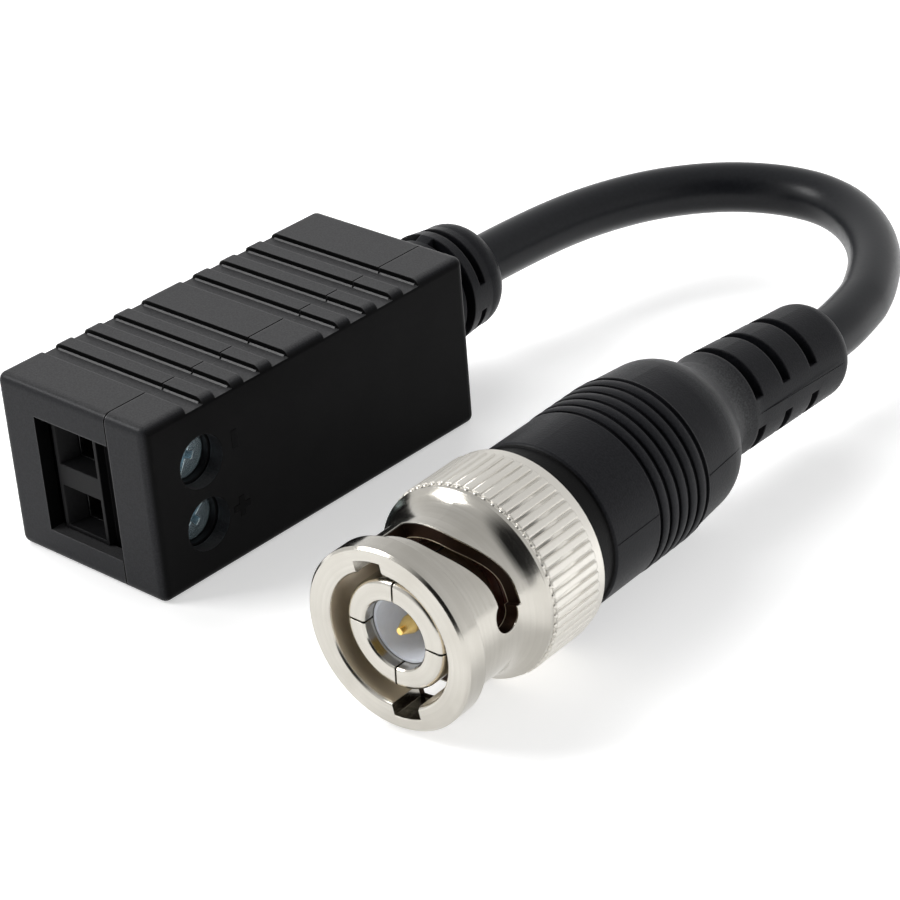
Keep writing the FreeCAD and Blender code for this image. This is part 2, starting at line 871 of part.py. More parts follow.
def make_plug_insulator():
    outer = sleeve_bore_radius - mould_gap
    return on_plug(turned([
        (insulator_front, outer - insulator_cup_wall),
        (insulator_front, outer),
        (insulator_end, outer),
        (insulator_end, pin_radius + mould_gap),
        (insulator_floor, pin_radius + mould_gap),
        (insulator_floor, outer - insulator_floor_wall),
    ]))


def make_centre_pin():
    return on_plug(turned([
        (pin_tip, 0),
        (pin_tip, pin_tip_radius),
        (pin_cone_end, pin_radius),
        (insulator_end, pin_radius),
        (insulator_end, 0),
    ]))


def make_wave_spring():
    """A thin wavy washer, as ruled faces between four closed wavy edges."""
    inner = barrel_radius + 2 * fit_gap
    outer = nut_counterbore_radius - 2 * fit_gap
    swing = (spring_height - spring_thickness) / 2
    middle = washer_front - fit_gap - spring_height / 2
    steps = 24

    def edge(radius, shift):
        points = []
        for number in range(steps):
            turn = 2 * math.pi * number / steps
            station = middle + shift + swing * math.cos(spring_waves * turn)
            points.append(Vector(radius * math.cos(turn), radius * math.sin(turn), station))
        curve = Part.BSplineCurve()
        curve.interpolate(points, PeriodicFlag=True)
        return curve.toShape()

    half = spring_thickness / 2
    edges = [edge(inner, -half), edge(outer, -half), edge(outer, half), edge(inner, half)]
    return on_plug(ruled_solid(edges))


def make_snap_ring():
    full = ring(nut_counterbore_radius - snap_width, nut_counterbore_radius + snap_grip,
                snap_front, snap_back)
    opening = sector(1, nut_counterbore_radius + 1, snap_front - 1, snap_back + 1,
                     180 - snap_opening / 2, 180 + snap_opening / 2)
    return on_plug(full.cut(opening))


def make_plug_boot():
    """Rubber moulded over the back of the plug: a ribbed grip that tapers to a slotted tail."""
    gap = mould_gap
    collar = nut_counterbore_radius - boot_collar_gap
    collar_front = snap_back + boot_collar_play
    nose_end = boot_front + boot_nose_length
    profile = [
        (collar_front, barrel_radius + gap),
        (collar_front, collar),
        (boot_front, collar),
        (boot_front, boot_nose_radius),
        (nose_end, boot_nose_radius),
        (nose_end, boot_grip_radius - boot_edge_round),
        (nose_end + boot_edge_round, boot_grip_radius),
    ]
    for number in range(grip_groove_count):
        start = boot_front + grip_groove_first + number * grip_groove_pitch - grip_groove_width / 2
        end = start + grip_groove_width
        floor = boot_grip_radius - grip_groove_depth
        profile += [(start, boot_grip_radius), (start, floor), (end, floor), (end, boot_grip_radius)]
    for step in boot_shoulder:
        profile.append([boot_grip_radius - value if place % 2 else boot_front + value
                        for place, value in enumerate(step)])
    tail_radius = cable_radius + boot_tail_wall
    waist_radius = tail_radius - boot_waist_depth
    waist_flat = waist_radius * math.radians(tail_angle)
    round_start = boot_end - boot_end_round
    tail_end_radius = cable_radius + boot_tail_end_wall
    profile += [
        (boot_front + boot_waist[0], waist_radius + boot_waist[1],
         boot_front + boot_waist_end - waist_flat, waist_radius),
        (boot_front + boot_waist_end + waist_flat, waist_radius),
        (boot_front + boot_tail_start, tail_radius),
        (boot_front + tail_slot_first, tail_radius),
        (round_start, tail_end_radius),
        rounded(tail_end_radius, cable_radius + boot_end_lip, round_start, boot_end),
        (boot_end, plug_core_radius + gap),
        (stem_end + gap, plug_core_radius + gap),
        (stem_end + gap, ferrule_outer_radius + gap),
        (barrel_end + gap, ferrule_outer_radius + gap),
        (barrel_end + gap, barrel_radius + gap),
    ]
    body = turned(profile)
    far = boot_grip_radius + 1
    slots = []
    for number in range(tail_slot_count):
        start = boot_front + tail_slot_first + number * tail_slot_pitch
        for from_angle, to_angle in (tail_slot_top, tail_slot_low):
            slots.append(sector(cable_radius + tail_slot_over_cable, far, start, start + tail_slot_width,
                                from_angle, to_angle))
    return on_plug(bent(body.cut(slots)))


save("housing_body", make_housing_body())
save("housing_cover", make_housing_cover())
save("circuit_board", make_circuit_board())
save("terminal_block", make_terminal_block())
for position, pole_height in pole_heights.items():
    save("terminal_strip_" + position, make_strip(pole_height))
    save("terminal_cage_" + position, make_cage(pole_height))
    save("terminal_screw_" + position, make_screw(pole_height, slot_angles[position]))
save("balun_core", make_balun_core())
save("line_winding", make_winding(-60))
save("camera_winding", make_winding(120))
save("surge_suppressor", make_surge_suppressor())
save("chip_capacitors", make_chip_capacitors())
save("signal_lead", make_signal_lead())
save("screen_lead", make_screen_lead())
save("cable_relief", make_cable_relief())
save("cable", make_cable())
save("coupling_nut", make_coupling_nut())
save("plug_body", make_plug_body())
save("sleeve_gasket", on_plug(ring(sleeve_radius + mould_gap, nut_bore_radius - gasket_gap,
                                   flange_front - gasket_length, flange_front - mould_gap)))
save("plug_insulator", make_plug_insulator())
save("centre_pin", make_centre_pin())
save("wave_spring", make_wave_spring())
save("thrust_washer", on_plug(ring(barrel_radius + 2 * fit_gap, nut_counterbore_radius - running_gap,
                                   washer_front, washer_back)))
save("snap_ring", make_snap_ring())
save("crimp_ferrule", on_plug(ring(ferrule_inner_radius, ferrule_outer_radius,
                                   barrel_end + ferrule_gap, stem_end)))
save("cable_core", on_plug(bent(rod((0, 0, insulator_end), (0, 0, 1), plug_core_radius,
                                    boot_end - insulator_end))))
save("plug_boot", make_plug_boot())
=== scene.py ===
# %% [markdown]
# # A video balun and its pigtail
# The object is a small black plastic box with two screw terminals. A short coaxial
# cable leaves its back and ends in a nickel-plated bayonet plug. FreeCAD made the solids,
# so this lesson only dresses them: it makes the cord, the finishes, the light and the
# parts that a solid modeller makes badly, such as the small beads at the ends of a knurl.
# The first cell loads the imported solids. They stay where they are for the whole lesson.

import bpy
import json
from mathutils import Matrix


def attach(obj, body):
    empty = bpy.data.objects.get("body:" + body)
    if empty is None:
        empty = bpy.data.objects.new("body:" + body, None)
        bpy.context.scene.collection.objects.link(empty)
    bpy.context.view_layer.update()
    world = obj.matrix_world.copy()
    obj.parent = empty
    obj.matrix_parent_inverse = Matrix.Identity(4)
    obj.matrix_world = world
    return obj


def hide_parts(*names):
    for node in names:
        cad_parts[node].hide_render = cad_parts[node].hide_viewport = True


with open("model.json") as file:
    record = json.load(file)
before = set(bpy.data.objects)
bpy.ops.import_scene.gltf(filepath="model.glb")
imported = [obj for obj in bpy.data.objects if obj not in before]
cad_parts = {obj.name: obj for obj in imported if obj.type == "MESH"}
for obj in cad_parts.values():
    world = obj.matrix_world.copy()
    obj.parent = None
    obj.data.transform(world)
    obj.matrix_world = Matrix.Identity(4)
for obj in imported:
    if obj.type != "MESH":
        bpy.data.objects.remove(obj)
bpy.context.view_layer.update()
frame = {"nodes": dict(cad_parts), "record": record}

# %% [markdown]
# ## Units
# The source of the solids counts in millimetres and Blender counts in metres. Every size in
# this lesson is written in millimetres, as callipers would read it on the real object, and
# becomes metres where it is used.

# %% Tools of this lesson
import bpy
import json
import math
from mathutils import Matrix, Vector

MM = 0.001


def metres(*values):
    """A point given in millimetres, as the solids' source gives it."""
    return Vector(values) * MM


def show(piece, body):
    """Links a finished piece to its body."""
    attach(piece, body)
    print(piece.name, "on", body)


print("one millimetre is", MM, "m")

# %% [markdown]
# ## Camera
# The photograph was taken with a long lens from the front right, a little above the box.
# A camera can be placed by eye, but the fit to the photograph's edges gives its angles,
# and three angles with a target and a distance are easier to read than a matrix of numbers.
# The fit also gives the camera a roll of a few degrees.

# %% Camera
LENS = 119.9
SENSOR_WIDTH = 36
NEAREST_SEEN = 10 * MM
CAMERA_AZIMUTH = math.radians(44.23)
CAMERA_ELEVATION = math.radians(28.97)
CAMERA_ROLL = math.radians(-4.73)
CAMERA_DISTANCE = 212.88 * MM
CAMERA_TARGET = metres(19.33, 1.58, 8.0)


def make_camera():
    flat = math.cos(CAMERA_ELEVATION)
    back = Vector((math.sin(CAMERA_AZIMUTH) * flat, -math.cos(CAMERA_AZIMUTH) * flat,
                   math.sin(CAMERA_ELEVATION)))
    level = Vector((math.cos(CAMERA_AZIMUTH), math.sin(CAMERA_AZIMUTH), 0))
    upright = back.cross(level)
    right = level * math.cos(CAMERA_ROLL) + upright * math.sin(CAMERA_ROLL)
    up = upright * math.cos(CAMERA_ROLL) - level * math.sin(CAMERA_ROLL)
    data = bpy.data.cameras.new("camera")
    data.lens = LENS
    data.sensor_width = SENSOR_WIDTH
    data.clip_start = NEAREST_SEEN
    camera = bpy.data.objects.new("camera", data)
    camera.matrix_world = Matrix.Translation(CAMERA_TARGET + back * CAMERA_DISTANCE) @ Matrix(
        (right, up, back)).transposed().to_4x4()
    bpy.context.scene.collection.objects.link(camera)
    bpy.context.scene.camera = camera
    return camera


camera = make_camera()
print("camera at", [round(value, 4) for value in camera.location])

# %% [markdown]
# ## Cable
# The pigtail is a round coaxial cable of 4.2 mm. It leaves the box straight, swings round
# in one open loop, sinks a little on its way and enters the plug's boot along the boot's
# bent tail. A swept mesh would do, but a NURBS curve bends evenly between its control
# points, as a springy cable does, and its bevel keeps the diameter true. The control
# points are the corners of the route that the solids use, moved by less than a millimetre
# where the photograph shows the cable beside them.

# %% Cable
CABLE_DIAMETER = 4.2 * MM
STEPS_BETWEEN_POINTS = 16
STEPS_ROUND_QUARTER = 12
CABLE_ROUTE = [
    (0.0, 25.55, 7.5),
    (0.0, 34.2, 7.5),
    (1.85, 43.15, 7.25),
    (5.5, 48.9, 7.05),
    (10.2, 52.2, 6.85),
    (15.3, 53.0, 6.7),
    (20.1, 50.95, 6.55),
    (24.5, 46.7, 6.45),
    (27.85, 40.7, 6.45),
    (28.8, 37.1, 6.48),
    (29.45, 33.87, 6.55),
    (29.65, 31.09, 6.65),
]


def make_cable():
    data = bpy.data.curves.new("pigtail_cable", "CURVE")
    data.dimensions = "3D"
    spline = data.splines.new("NURBS")
    spline.points.add(len(CABLE_ROUTE) - 1)
    for point, corner in zip(spline.points, CABLE_ROUTE):
        point.co = (*metres(*corner), 1)
    spline.order_u = 3
    spline.use_endpoint_u = True
    spline.resolution_u = STEPS_BETWEEN_POINTS
    data.bevel_depth = CABLE_DIAMETER / 2
    data.bevel_resolution = STEPS_ROUND_QUARTER
    cable = bpy.data.objects.new("pigtail_cable", data)
    bpy.context.scene.collection.objects.link(cable)
    return cable


cable = make_cable()
print("cable of", len(CABLE_ROUTE), "points")

# %% [markdown]
# ## Small builders for shader trees
# A shader is a tree of small nodes, and wiring each of them by hand hides what the tree is
# for. The steps that come back in every finish get a short function instead: map a range,
# do a sum, mix two values or two colours. Each takes the tree and gives back the socket
# that holds its result.

# %% Numbers in a tree
def feed(tree, socket, value):
    """Gives a socket a colour or a number, or links another node's result to it."""
    if isinstance(value, tuple):
        socket.default_value = (*value, 1)
    elif isinstance(value, float):
        socket.default_value = value
    else:
        tree.links.new(value, socket)


def arithmetic(tree, operation, first, second=0.0):
    node = tree.nodes.new("ShaderNodeMath")
    node.operation = operation
    feed(tree, node.inputs[0], first)
    feed(tree, node.inputs[1], second)
    return node.outputs[0]


def spread(tree, value, low, high, start=0.3, end=0.7):
    """Maps a value from a range to another, and keeps it inside."""
    node = tree.nodes.new("ShaderNodeMapRange")
    node.inputs["From Min"].default_value = start
    node.inputs["From Max"].default_value = end
    node.inputs["To Min"].default_value = low
    node.inputs["To Max"].default_value = high
    tree.links.new(value, node.inputs["Value"])
    return node.outputs[0]


def rising(tree, value, start, end):
    """0 before the start of a range, 1 past its end."""
    return spread(tree, value, 0.0, 1.0, start, end)


def within(tree, value, limits, blur):
    """1 between two limits in millimetres and 0 outside them, with soft edges."""
    low, high = limits
    entering = rising(tree, value, (low - blur) * MM, (low + blur) * MM)
    leaving = spread(tree, value, 1.0, 0.0, (high - blur) * MM, (high + blur) * MM)
    return arithmetic(tree, "MULTIPLY", entering, leaving)


def axis_parts(tree, vector):
    """The X, Y and Z of a vector, by name."""
    node = tree.nodes.new("ShaderNodeSeparateXYZ")
    tree.links.new(vector, node.inputs[0])
    return node.outputs


def likeness(tree, first, second):
    """The dot product of two directions: 1 where they agree, 0 where they are square."""
    node = tree.nodes.new("ShaderNodeVectorMath")
    node.operation = "DOT_PRODUCT"
    tree.links.new(first, node.inputs[0])
    if isinstance(second, tuple):
        node.inputs[1].default_value = second
    else:
        tree.links.new(second, node.inputs[1])
    return node.outputs["Value"]


print("number builders ready")

# %% Mixes and grain
SHADE_ENDS = (0.3, 0.7)


def blend_values(tree, share, first, second):
    """The first value where the share is 0, the second where it is 1."""
    mix = tree.nodes.new("ShaderNodeMix")
    tree.links.new(share, mix.inputs["Factor"])
    feed(tree, mix.inputs["A"], first)
    feed(tree, mix.inputs["B"], second)
    return mix.outputs["Result"]


def blend_colours(tree, share, first, second):
    """The first colour where the share is 0, the second where it is 1."""
    mix = tree.nodes.new("ShaderNodeMix")
    mix.data_type = "RGBA"
    tree.links.new(share, mix.inputs["Factor"])
    feed(tree, mix.inputs["A"], first)
    feed(tree, mix.inputs["B"], second)
    return mix.outputs["Result"]


def grain(tree, coordinates, size_mm, detail=3.0):
    """Noise with features of about the given size."""
    noise = tree.nodes.new("ShaderNodeTexNoise")
    noise.inputs["Scale"].default_value = 1 / (size_mm * MM)
    noise.inputs["Detail"].default_value = detail
    tree.links.new(coordinates, noise.inputs["Vector"])
    return noise.outputs["Fac"]


def shades(tree, value, dark, light):
    """Maps a noise value to a colour between two shades."""
    ramp = tree.nodes.new("ShaderNodeValToRGB")
    for element, position, colour in zip(ramp.color_ramp.elements, SHADE_ENDS, (dark, light)):
        element.position = position
        element.color = (*colour, 1)
    tree.links.new(value, ramp.inputs["Fac"])
    return ramp.outputs["Color"]


print("mixes and grain ready")

# %% [markdown]
# ## Floor
# The photograph has a plain white ground. A white floor needs no strong lamps: its
# material adds a little light of its own, but only for rays that come from the camera,
# from a glossy surface or through glass. Lamps stay at the level at which a colour
# looks as it is written, and the floor still shows the object's shadow.

# %% Floor
FLOOR_SIZE = 3.0
FLOOR_WHITE = (0.82, 0.82, 0.82, 1)
FLOOR_LIFT = 0.46


def seen_white(tree):
    """1 for rays that show the ground to the camera or in a reflection, otherwise 0."""
    ray = tree.nodes.new("ShaderNodeLightPath").outputs
    direct = arithmetic(tree, "MAXIMUM", ray["Is Camera Ray"], ray["Is Glossy Ray"])
    return arithmetic(tree, "MAXIMUM", direct, ray["Is Transmission Ray"])


def floor_white():
    """White paint that also glows for the rays that look at it."""
    material = bpy.data.materials.new("floor_white")
    material.use_nodes = True
    tree = material.node_tree
    tree.nodes.clear()
    paint = tree.nodes.new("ShaderNodeBsdfDiffuse")
    paint.inputs["Color"].default_value = FLOOR_WHITE
    glow = tree.nodes.new("ShaderNodeEmission")
    lift = arithmetic(tree, "MULTIPLY", seen_white(tree), FLOOR_LIFT)
    tree.links.new(lift, glow.inputs["Strength"])
    total = tree.nodes.new("ShaderNodeAddShader")
    tree.links.new(paint.outputs[0], total.inputs[0])
    tree.links.new(glow.outputs[0], total.inputs[1])
    output = tree.nodes.new("ShaderNodeOutputMaterial")
    tree.links.new(total.outputs[0], output.inputs["Surface"])
    return material


def make_floor():
    half = FLOOR_SIZE / 2
    mesh = bpy.data.meshes.new("floor")
    corners = [(-half, -half, 0), (half, -half, 0), (half, half, 0), (-half, half, 0)]
    mesh.from_pydata(corners, [], [(0, 1, 2, 3)])
    mesh.materials.append(floor_white())
    floor = bpy.data.objects.new("floor", mesh)
    bpy.context.scene.collection.objects.link(floor)


make_floor()
print("floor of", FLOOR_SIZE, "m")

# %% [markdown]
# ## The room that the metal mirrors
# The nickel nut is a curved mirror, so the room round it gives it its look. In the
# photograph its dished shoulder shows one dark streak between bright flanks, as in a room
# that is white, a little dimmer overhead and dark on the side where the camera stands.
# What the studio really looked like isn't known: this room was chosen to give that look.
# Black cards round the object would do the same, but they would also take light away from
# it. A world whose strength changes with the direction is seen only in reflections and
# behind the object, and the light that falls on the object stays even.

# %% Room
ROOM_AMBIENT = 0.35
ROOM_CEILING = 0.65
CEILING_RISE = (0.05, 0.9)
DARK_SIDE = 0.02
DARK_SIDE_DIRECTION = (0.61, -0.627, 0.484)
DARK_SIDE_EDGE = (0.72, 0.93)


def make_room():
    world = bpy.data.worlds.new("studio")
    world.use_nodes = True
    tree = world.node_tree
    background = tree.nodes["Background"]
    background.inputs["Color"].default_value = (1, 1, 1, 1)
    direction = tree.nodes.new("ShaderNodeTexCoord").outputs["Generated"]
    height = axis_parts(tree, direction)["Z"]
    ceiling = spread(tree, height, 1.0, ROOM_CEILING, *CEILING_RISE)
    facing = likeness(tree, direction, DARK_SIDE_DIRECTION)
    dark_side = spread(tree, facing, 1.0, DARK_SIDE, *DARK_SIDE_EDGE)
    seen = arithmetic(tree, "MULTIPLY", ceiling, dark_side)
    tree.links.new(blend_values(tree, seen_white(tree), ROOM_AMBIENT, seen),
                   background.inputs["Strength"])
    bpy.context.scene.world = world


make_room()
bpy.context.scene.view_settings.view_transform = "Standard"
print("room with a dark side of", DARK_SIDE)

# %% [markdown]
# ## Lamps
# Three softboxes stand round the object: a large one behind it on the left, which lights
# its top, a smaller one in front on the left and a weak one on the right. The nickel would
# mirror the first and the last as hard white squares, which the photograph doesn't show,
# so these two are left out of reflections. They still light every surface.

# %% Lamps
LAMP_AIM = metres(14, 12, 5)
SOFTBOXES = [
    {"name": "key_softbox", "place": (-330, 200, 400), "size": (460, 360), "watts": 2.6,
     "mirrored": False},
    {"name": "fill_softbox", "place": (-290, -260, 330), "size": (220, 200), "watts": 1.4,
     "mirrored": True},
    {"name": "side_softbox", "place": (430, 40, 170), "size": (220, 200), "watts": 0.8,
     "mirrored": False},
]


def make_softbox(name, place, size, watts, mirrored):
    """A flat lamp at a place in millimetres that faces the object's middle."""
    data = bpy.data.lights.new(name, "AREA")
    data.shape = "RECTANGLE"
    data.size = size[0] * MM
    data.size_y = size[1] * MM
    data.energy = watts
    lamp = bpy.data.objects.new(name, data)
    lamp.location = metres(*place)
    aim = LAMP_AIM - lamp.location
    lamp.rotation_euler = aim.to_track_quat("-Z", "Y").to_euler()
    lamp.visible_glossy = mirrored
    bpy.context.scene.collection.objects.link(lamp)


for softbox in SOFTBOXES:
    make_softbox(**softbox)
print("lamps", len(bpy.data.lights))

# %% [markdown]
# ## Finishes
# Every finish is one Principled shader. Its colour, roughness and bump come from small
# noise patterns in the object's own coordinates, so the grain has a true size in
# millimetres and doesn't slide when a part moves. Numbers that are the same all over,
# such as metal or index of refraction, are set on the shader itself. Real moulded and
# turned parts have no perfectly sharp edge, and a thin bright line on an edge is what
# tells the eye so. A Bevel node bends the normal near each edge and gives that line
# without any more faces.

# %% Edges and relief
EDGE_SAMPLES = 6
EDGE_TURN = (0.985, 0.85)


def new_finish(name, metallic=0.0, specular=0.5):
    """A material with one Principled shader; returns it, its tree, the shader and coordinates."""
    material = bpy.data.materials.new(name)
    material.use_nodes = True
    tree = material.node_tree
    shader = tree.nodes["Principled BSDF"]
    shader.inputs["Metallic"].default_value = metallic
    shader.inputs["Specular IOR Level"].default_value = specular
    shader.inputs["Coat Weight"].default_value = 0.0
    coordinates = tree.nodes.new("ShaderNodeTexCoord").outputs["Object"]
    return material, tree, shader, coordinates


def flat_normal(tree):
    """The normal of the face itself, without smoothing or bump."""
    return tree.nodes.new("ShaderNodeNewGeometry").outputs["True Normal"]


def rounded_edges(tree, edge_mm):
    """The normal as it would be with every edge rounded to about this radius."""
    bevel = tree.nodes.new("ShaderNodeBevel")
    bevel.samples = EDGE_SAMPLES
    if isinstance(edge_mm, float):
        bevel.inputs["Radius"].default_value = edge_mm * MM
    else:
        tree.links.new(edge_mm, bevel.inputs["Radius"])
    return bevel.outputs[0]


def near_edges(tree, rounded):
    """0 on flat faces, rising to 1 at their edges."""
    return rising(tree, likeness(tree, rounded, flat_normal(tree)), *EDGE_TURN)


def relief_normal(tree, shader, value, depth_mm, rounded=None):
    """Bump of a real depth, on the rounded normals where they are given."""
    bump = tree.nodes.new("ShaderNodeBump")
    bump.inputs["Distance"].default_value = depth_mm * MM
    tree.links.new(value, bump.inputs["Height"])
    if rounded:
        tree.links.new(rounded, bump.inputs["Normal"])
    tree.links.new(bump.outputs[0], shader.inputs["Normal"])


def plain_finish(name, dark, light, roughness, grain_mm, bump_mm, metallic=0.0, specular=0.5,
                 edge_mm=0.0):
    """A finish with one grain that drives its colour, its roughness and its bump."""
    material, tree, shader, coordinates = new_finish(name, metallic, specular)
    pattern = grain(tree, coordinates, grain_mm)
    tree.links.new(shades(tree, pattern, dark, light), shader.inputs["Base Color"])
    tree.links.new(spread(tree, pattern, *roughness), shader.inputs["Roughness"])
    rounded = rounded_edges(tree, edge_mm) if edge_mm else None
    relief_normal(tree, shader, pattern, bump_mm, rounded)
    return material


print("edges and relief ready")

# %% [markdown]
# ## Case plastic
# The shells are one black plastic with two surfaces. The mould is spark-eroded on the top
# and on the ends, which gives a fine even grain that looks dark grey, and polished on the
# wide sides and on the walls of the channels. The top is painted a lighter grey than the
# ends: painted light for the light that falls on it from above. The polished faces are
# painted nearly black: partly their own dark polish, partly painted shade, most of all on
# the channel walls, which face away from the light above. Two materials on one shell would
# need its faces sorted. The direction of the normal says the same thing, so one material
# mixes both. The photograph also shows edges that are brighter than the faces, and a clear
# coat that lies mostly near the edges gives them that shine.

# %% Case plastic
CASE_GRAIN = 0.13
CASE_CLOUDS = 3.5
CASE_EDGE = 0.16
CASE_RELIEF = 0.006
POLISHED_RELIEF = 0.25
ERODED_ROUGHNESS = (0.42, 0.5)
POLISHED_ROUGHNESS = (0.33, 0.38)
END_SHADES = ((0.015, 0.0153, 0.0170), (0.025, 0.0255, 0.0280))
# The lighter top shades are painted light: the light that falls on the top from above.
PAINTED_LIGHT_TOP_SHADES = ((0.030, 0.0300, 0.0310), (0.048, 0.0480, 0.0495))
# Nearly black: partly the polish itself, partly painted shade on faces turned away from the light
# above.
POLISHED_WITH_PAINTED_SHADE = ((0.0026, 0.0026, 0.0028), (0.0038, 0.0038, 0.0040))
FLAT_COAT = (0.12, 0.01)
EDGE_COAT = (0.8, 0.05)
COAT_ROUGHNESS = 0.24
SIDE_TURN = (0.55, 0.9)
PAINTED_LIGHT_TOP_TURN = (0.7, 0.95)
WALL_TURN = (0.6, 0.8)
CHANNEL_FLOOR = 13.7
CHANNELS_BEHIND = -15.0


def channel_walls(tree, coordinates, normal):
    """1 on the upright walls of the channels in the top, otherwise 0."""
    place = axis_parts(tree, coordinates)
    above = rising(tree, place["Z"], (CHANNEL_FLOOR - 0.1) * MM, CHANNEL_FLOOR * MM)
    behind = rising(tree, place["Y"], CHANNELS_BEHIND * MM, (CHANNELS_BEHIND + 1) * MM)
    upright = rising(tree, arithmetic(tree, "ABSOLUTE", normal["Y"]), *WALL_TURN)
    return arithmetic(tree, "MULTIPLY", arithmetic(tree, "MULTIPLY", above, behind), upright)


def case_plastic():
    material, tree, shader, coordinates = new_finish("case_plastic_finish", specular=0.04)
    fine = grain(tree, coordinates, CASE_GRAIN, 2.0)
    clouds = grain(tree, coordinates, CASE_CLOUDS, 2.0)
    normal = axis_parts(tree, flat_normal(tree))
    side = rising(tree, arithmetic(tree, "ABSOLUTE", normal["X"]), *SIDE_TURN)
    top = rising(tree, normal["Z"], *PAINTED_LIGHT_TOP_TURN)
    polished = arithmetic(tree, "MAXIMUM", channel_walls(tree, coordinates, normal), side)
    # The top gets painted light here: a lighter colour than the ends, for the light from above.
    eroded_colour_with_painted_light = blend_colours(tree, top, shades(tree, fine, *END_SHADES),
                                  shades(tree, fine, *PAINTED_LIGHT_TOP_SHADES))
    # Polished faces are painted nearly black: their own dark polish together with painted shade.
    tree.links.new(blend_colours(tree, polished, eroded_colour_with_painted_light,
                                 shades(tree, clouds, *POLISHED_WITH_PAINTED_SHADE)),
                   shader.inputs["Base Color"])
    tree.links.new(blend_values(tree, polished, spread(tree, fine, *ERODED_ROUGHNESS),
                                spread(tree, fine, *POLISHED_ROUGHNESS)),
                   shader.inputs["Roughness"])
    rounded = rounded_edges(tree, CASE_EDGE)
    coat = blend_values(tree, near_edges(tree, rounded),
                        blend_values(tree, polished, *FLAT_COAT),
                        blend_values(tree, side, *EDGE_COAT))
    tree.links.new(coat, shader.inputs["Coat Weight"])
    shader.inputs["Coat Roughness"].default_value = COAT_ROUGHNESS
    shallow = arithmetic(tree, "MULTIPLY", fine, POLISHED_RELIEF)
    relief_normal(tree, shader, blend_values(tree, polished, fine, shallow), CASE_RELIEF, rounded)
    return material


case_finish = case_plastic()
print(case_finish.name)

# %% [markdown]
# ## Nickel plate
# The nut is turned brass with nickel on it: polished at the front, where it reflects the
# room sharply, and satin on the knurl and in the bore. The knurl is painted lighter than the
# rest of the plate: painted light that lifts the shade in its grooves. The cam slots look
# dark brown, so their walls are painted that colour: painted shade for the dark inside of
# the nut that they mirror. All of this depends on how far a point lies from the nut's front
# and from its axis, so the finish works in the plug's own stations and radii, which a
# Mapping node takes from the object's coordinates. The same stations give the rings that a
# lathe leaves, as noise that changes only along the axis and outwards.

# %% Stations and radii of the plug
PLUG_FRONT = metres(31.93, -18.63, 7.26)
PLUG_YAW = math.radians(3.44)


def plug_frame(tree, coordinates):
    """Station behind the nut's front and radius about the plug's axis, in metres."""
    mapping = tree.nodes.new("ShaderNodeMapping")
    mapping.vector_type = "TEXTURE"
    mapping.inputs["Location"].default_value = PLUG_FRONT
    mapping.inputs["Rotation"].default_value = (0, 0, PLUG_YAW)
    tree.links.new(coordinates, mapping.inputs["Vector"])
    place = axis_parts(tree, mapping.outputs[0])
    across = arithmetic(tree, "MULTIPLY", place["X"], place["X"])
    upward = arithmetic(tree, "MULTIPLY", place["Z"], place["Z"])
    radius = arithmetic(tree, "SQRT", arithmetic(tree, "ADD", across, upward))
    return place["Y"], radius


def turning_marks(tree, station, radius, pitch_mm):
    """Noise that only changes along the axis and outwards: the rings that a lathe leaves."""
    place = tree.nodes.new("ShaderNodeCombineXYZ")
    tree.links.new(station, place.inputs["X"])
    tree.links.new(radius, place.inputs["Y"])
    return grain(tree, place.outputs[0], pitch_mm)


print("plug's front at", [round(value, 4) for value in PLUG_FRONT])

# %% Nickel plate
KNURL_STATIONS = (8.55, 14.4)
BORE_STATIONS = (0.25, 7.6)
BORE_RADII = (4.7, 4.95)
SLOT_STATIONS = (2.7, 7.3)
SLOT_RADII = (4.96, 5.9)
PLATE_SHADES = ((0.47, 0.45, 0.405), (0.55, 0.53, 0.485))
# The knurl's lighter colour is painted light that lifts the shade in its grooves.
KNURL_PAINTED_LIGHT_COLOUR = (0.78, 0.755, 0.70)
BORE_COLOUR = (0.86, 0.76, 0.60)
# The slot walls' dark brown is painted shade for the dark inside of the nut that they mirror.
SLOT_PAINTED_SHADE_COLOUR = (0.035, 0.020, 0.014)
POLISHED_NICKEL = (0.12, 0.22)
SATIN_NICKEL = (0.40, 0.50)
BORE_ROUGHNESS = 0.45
SLOT_ROUGHNESS = 0.5
POLISHED_EDGE = 0.09
KNURL_EDGE = 0.2
LATHE_PITCH = 0.22
LATHE_DEPTH = 0.0012


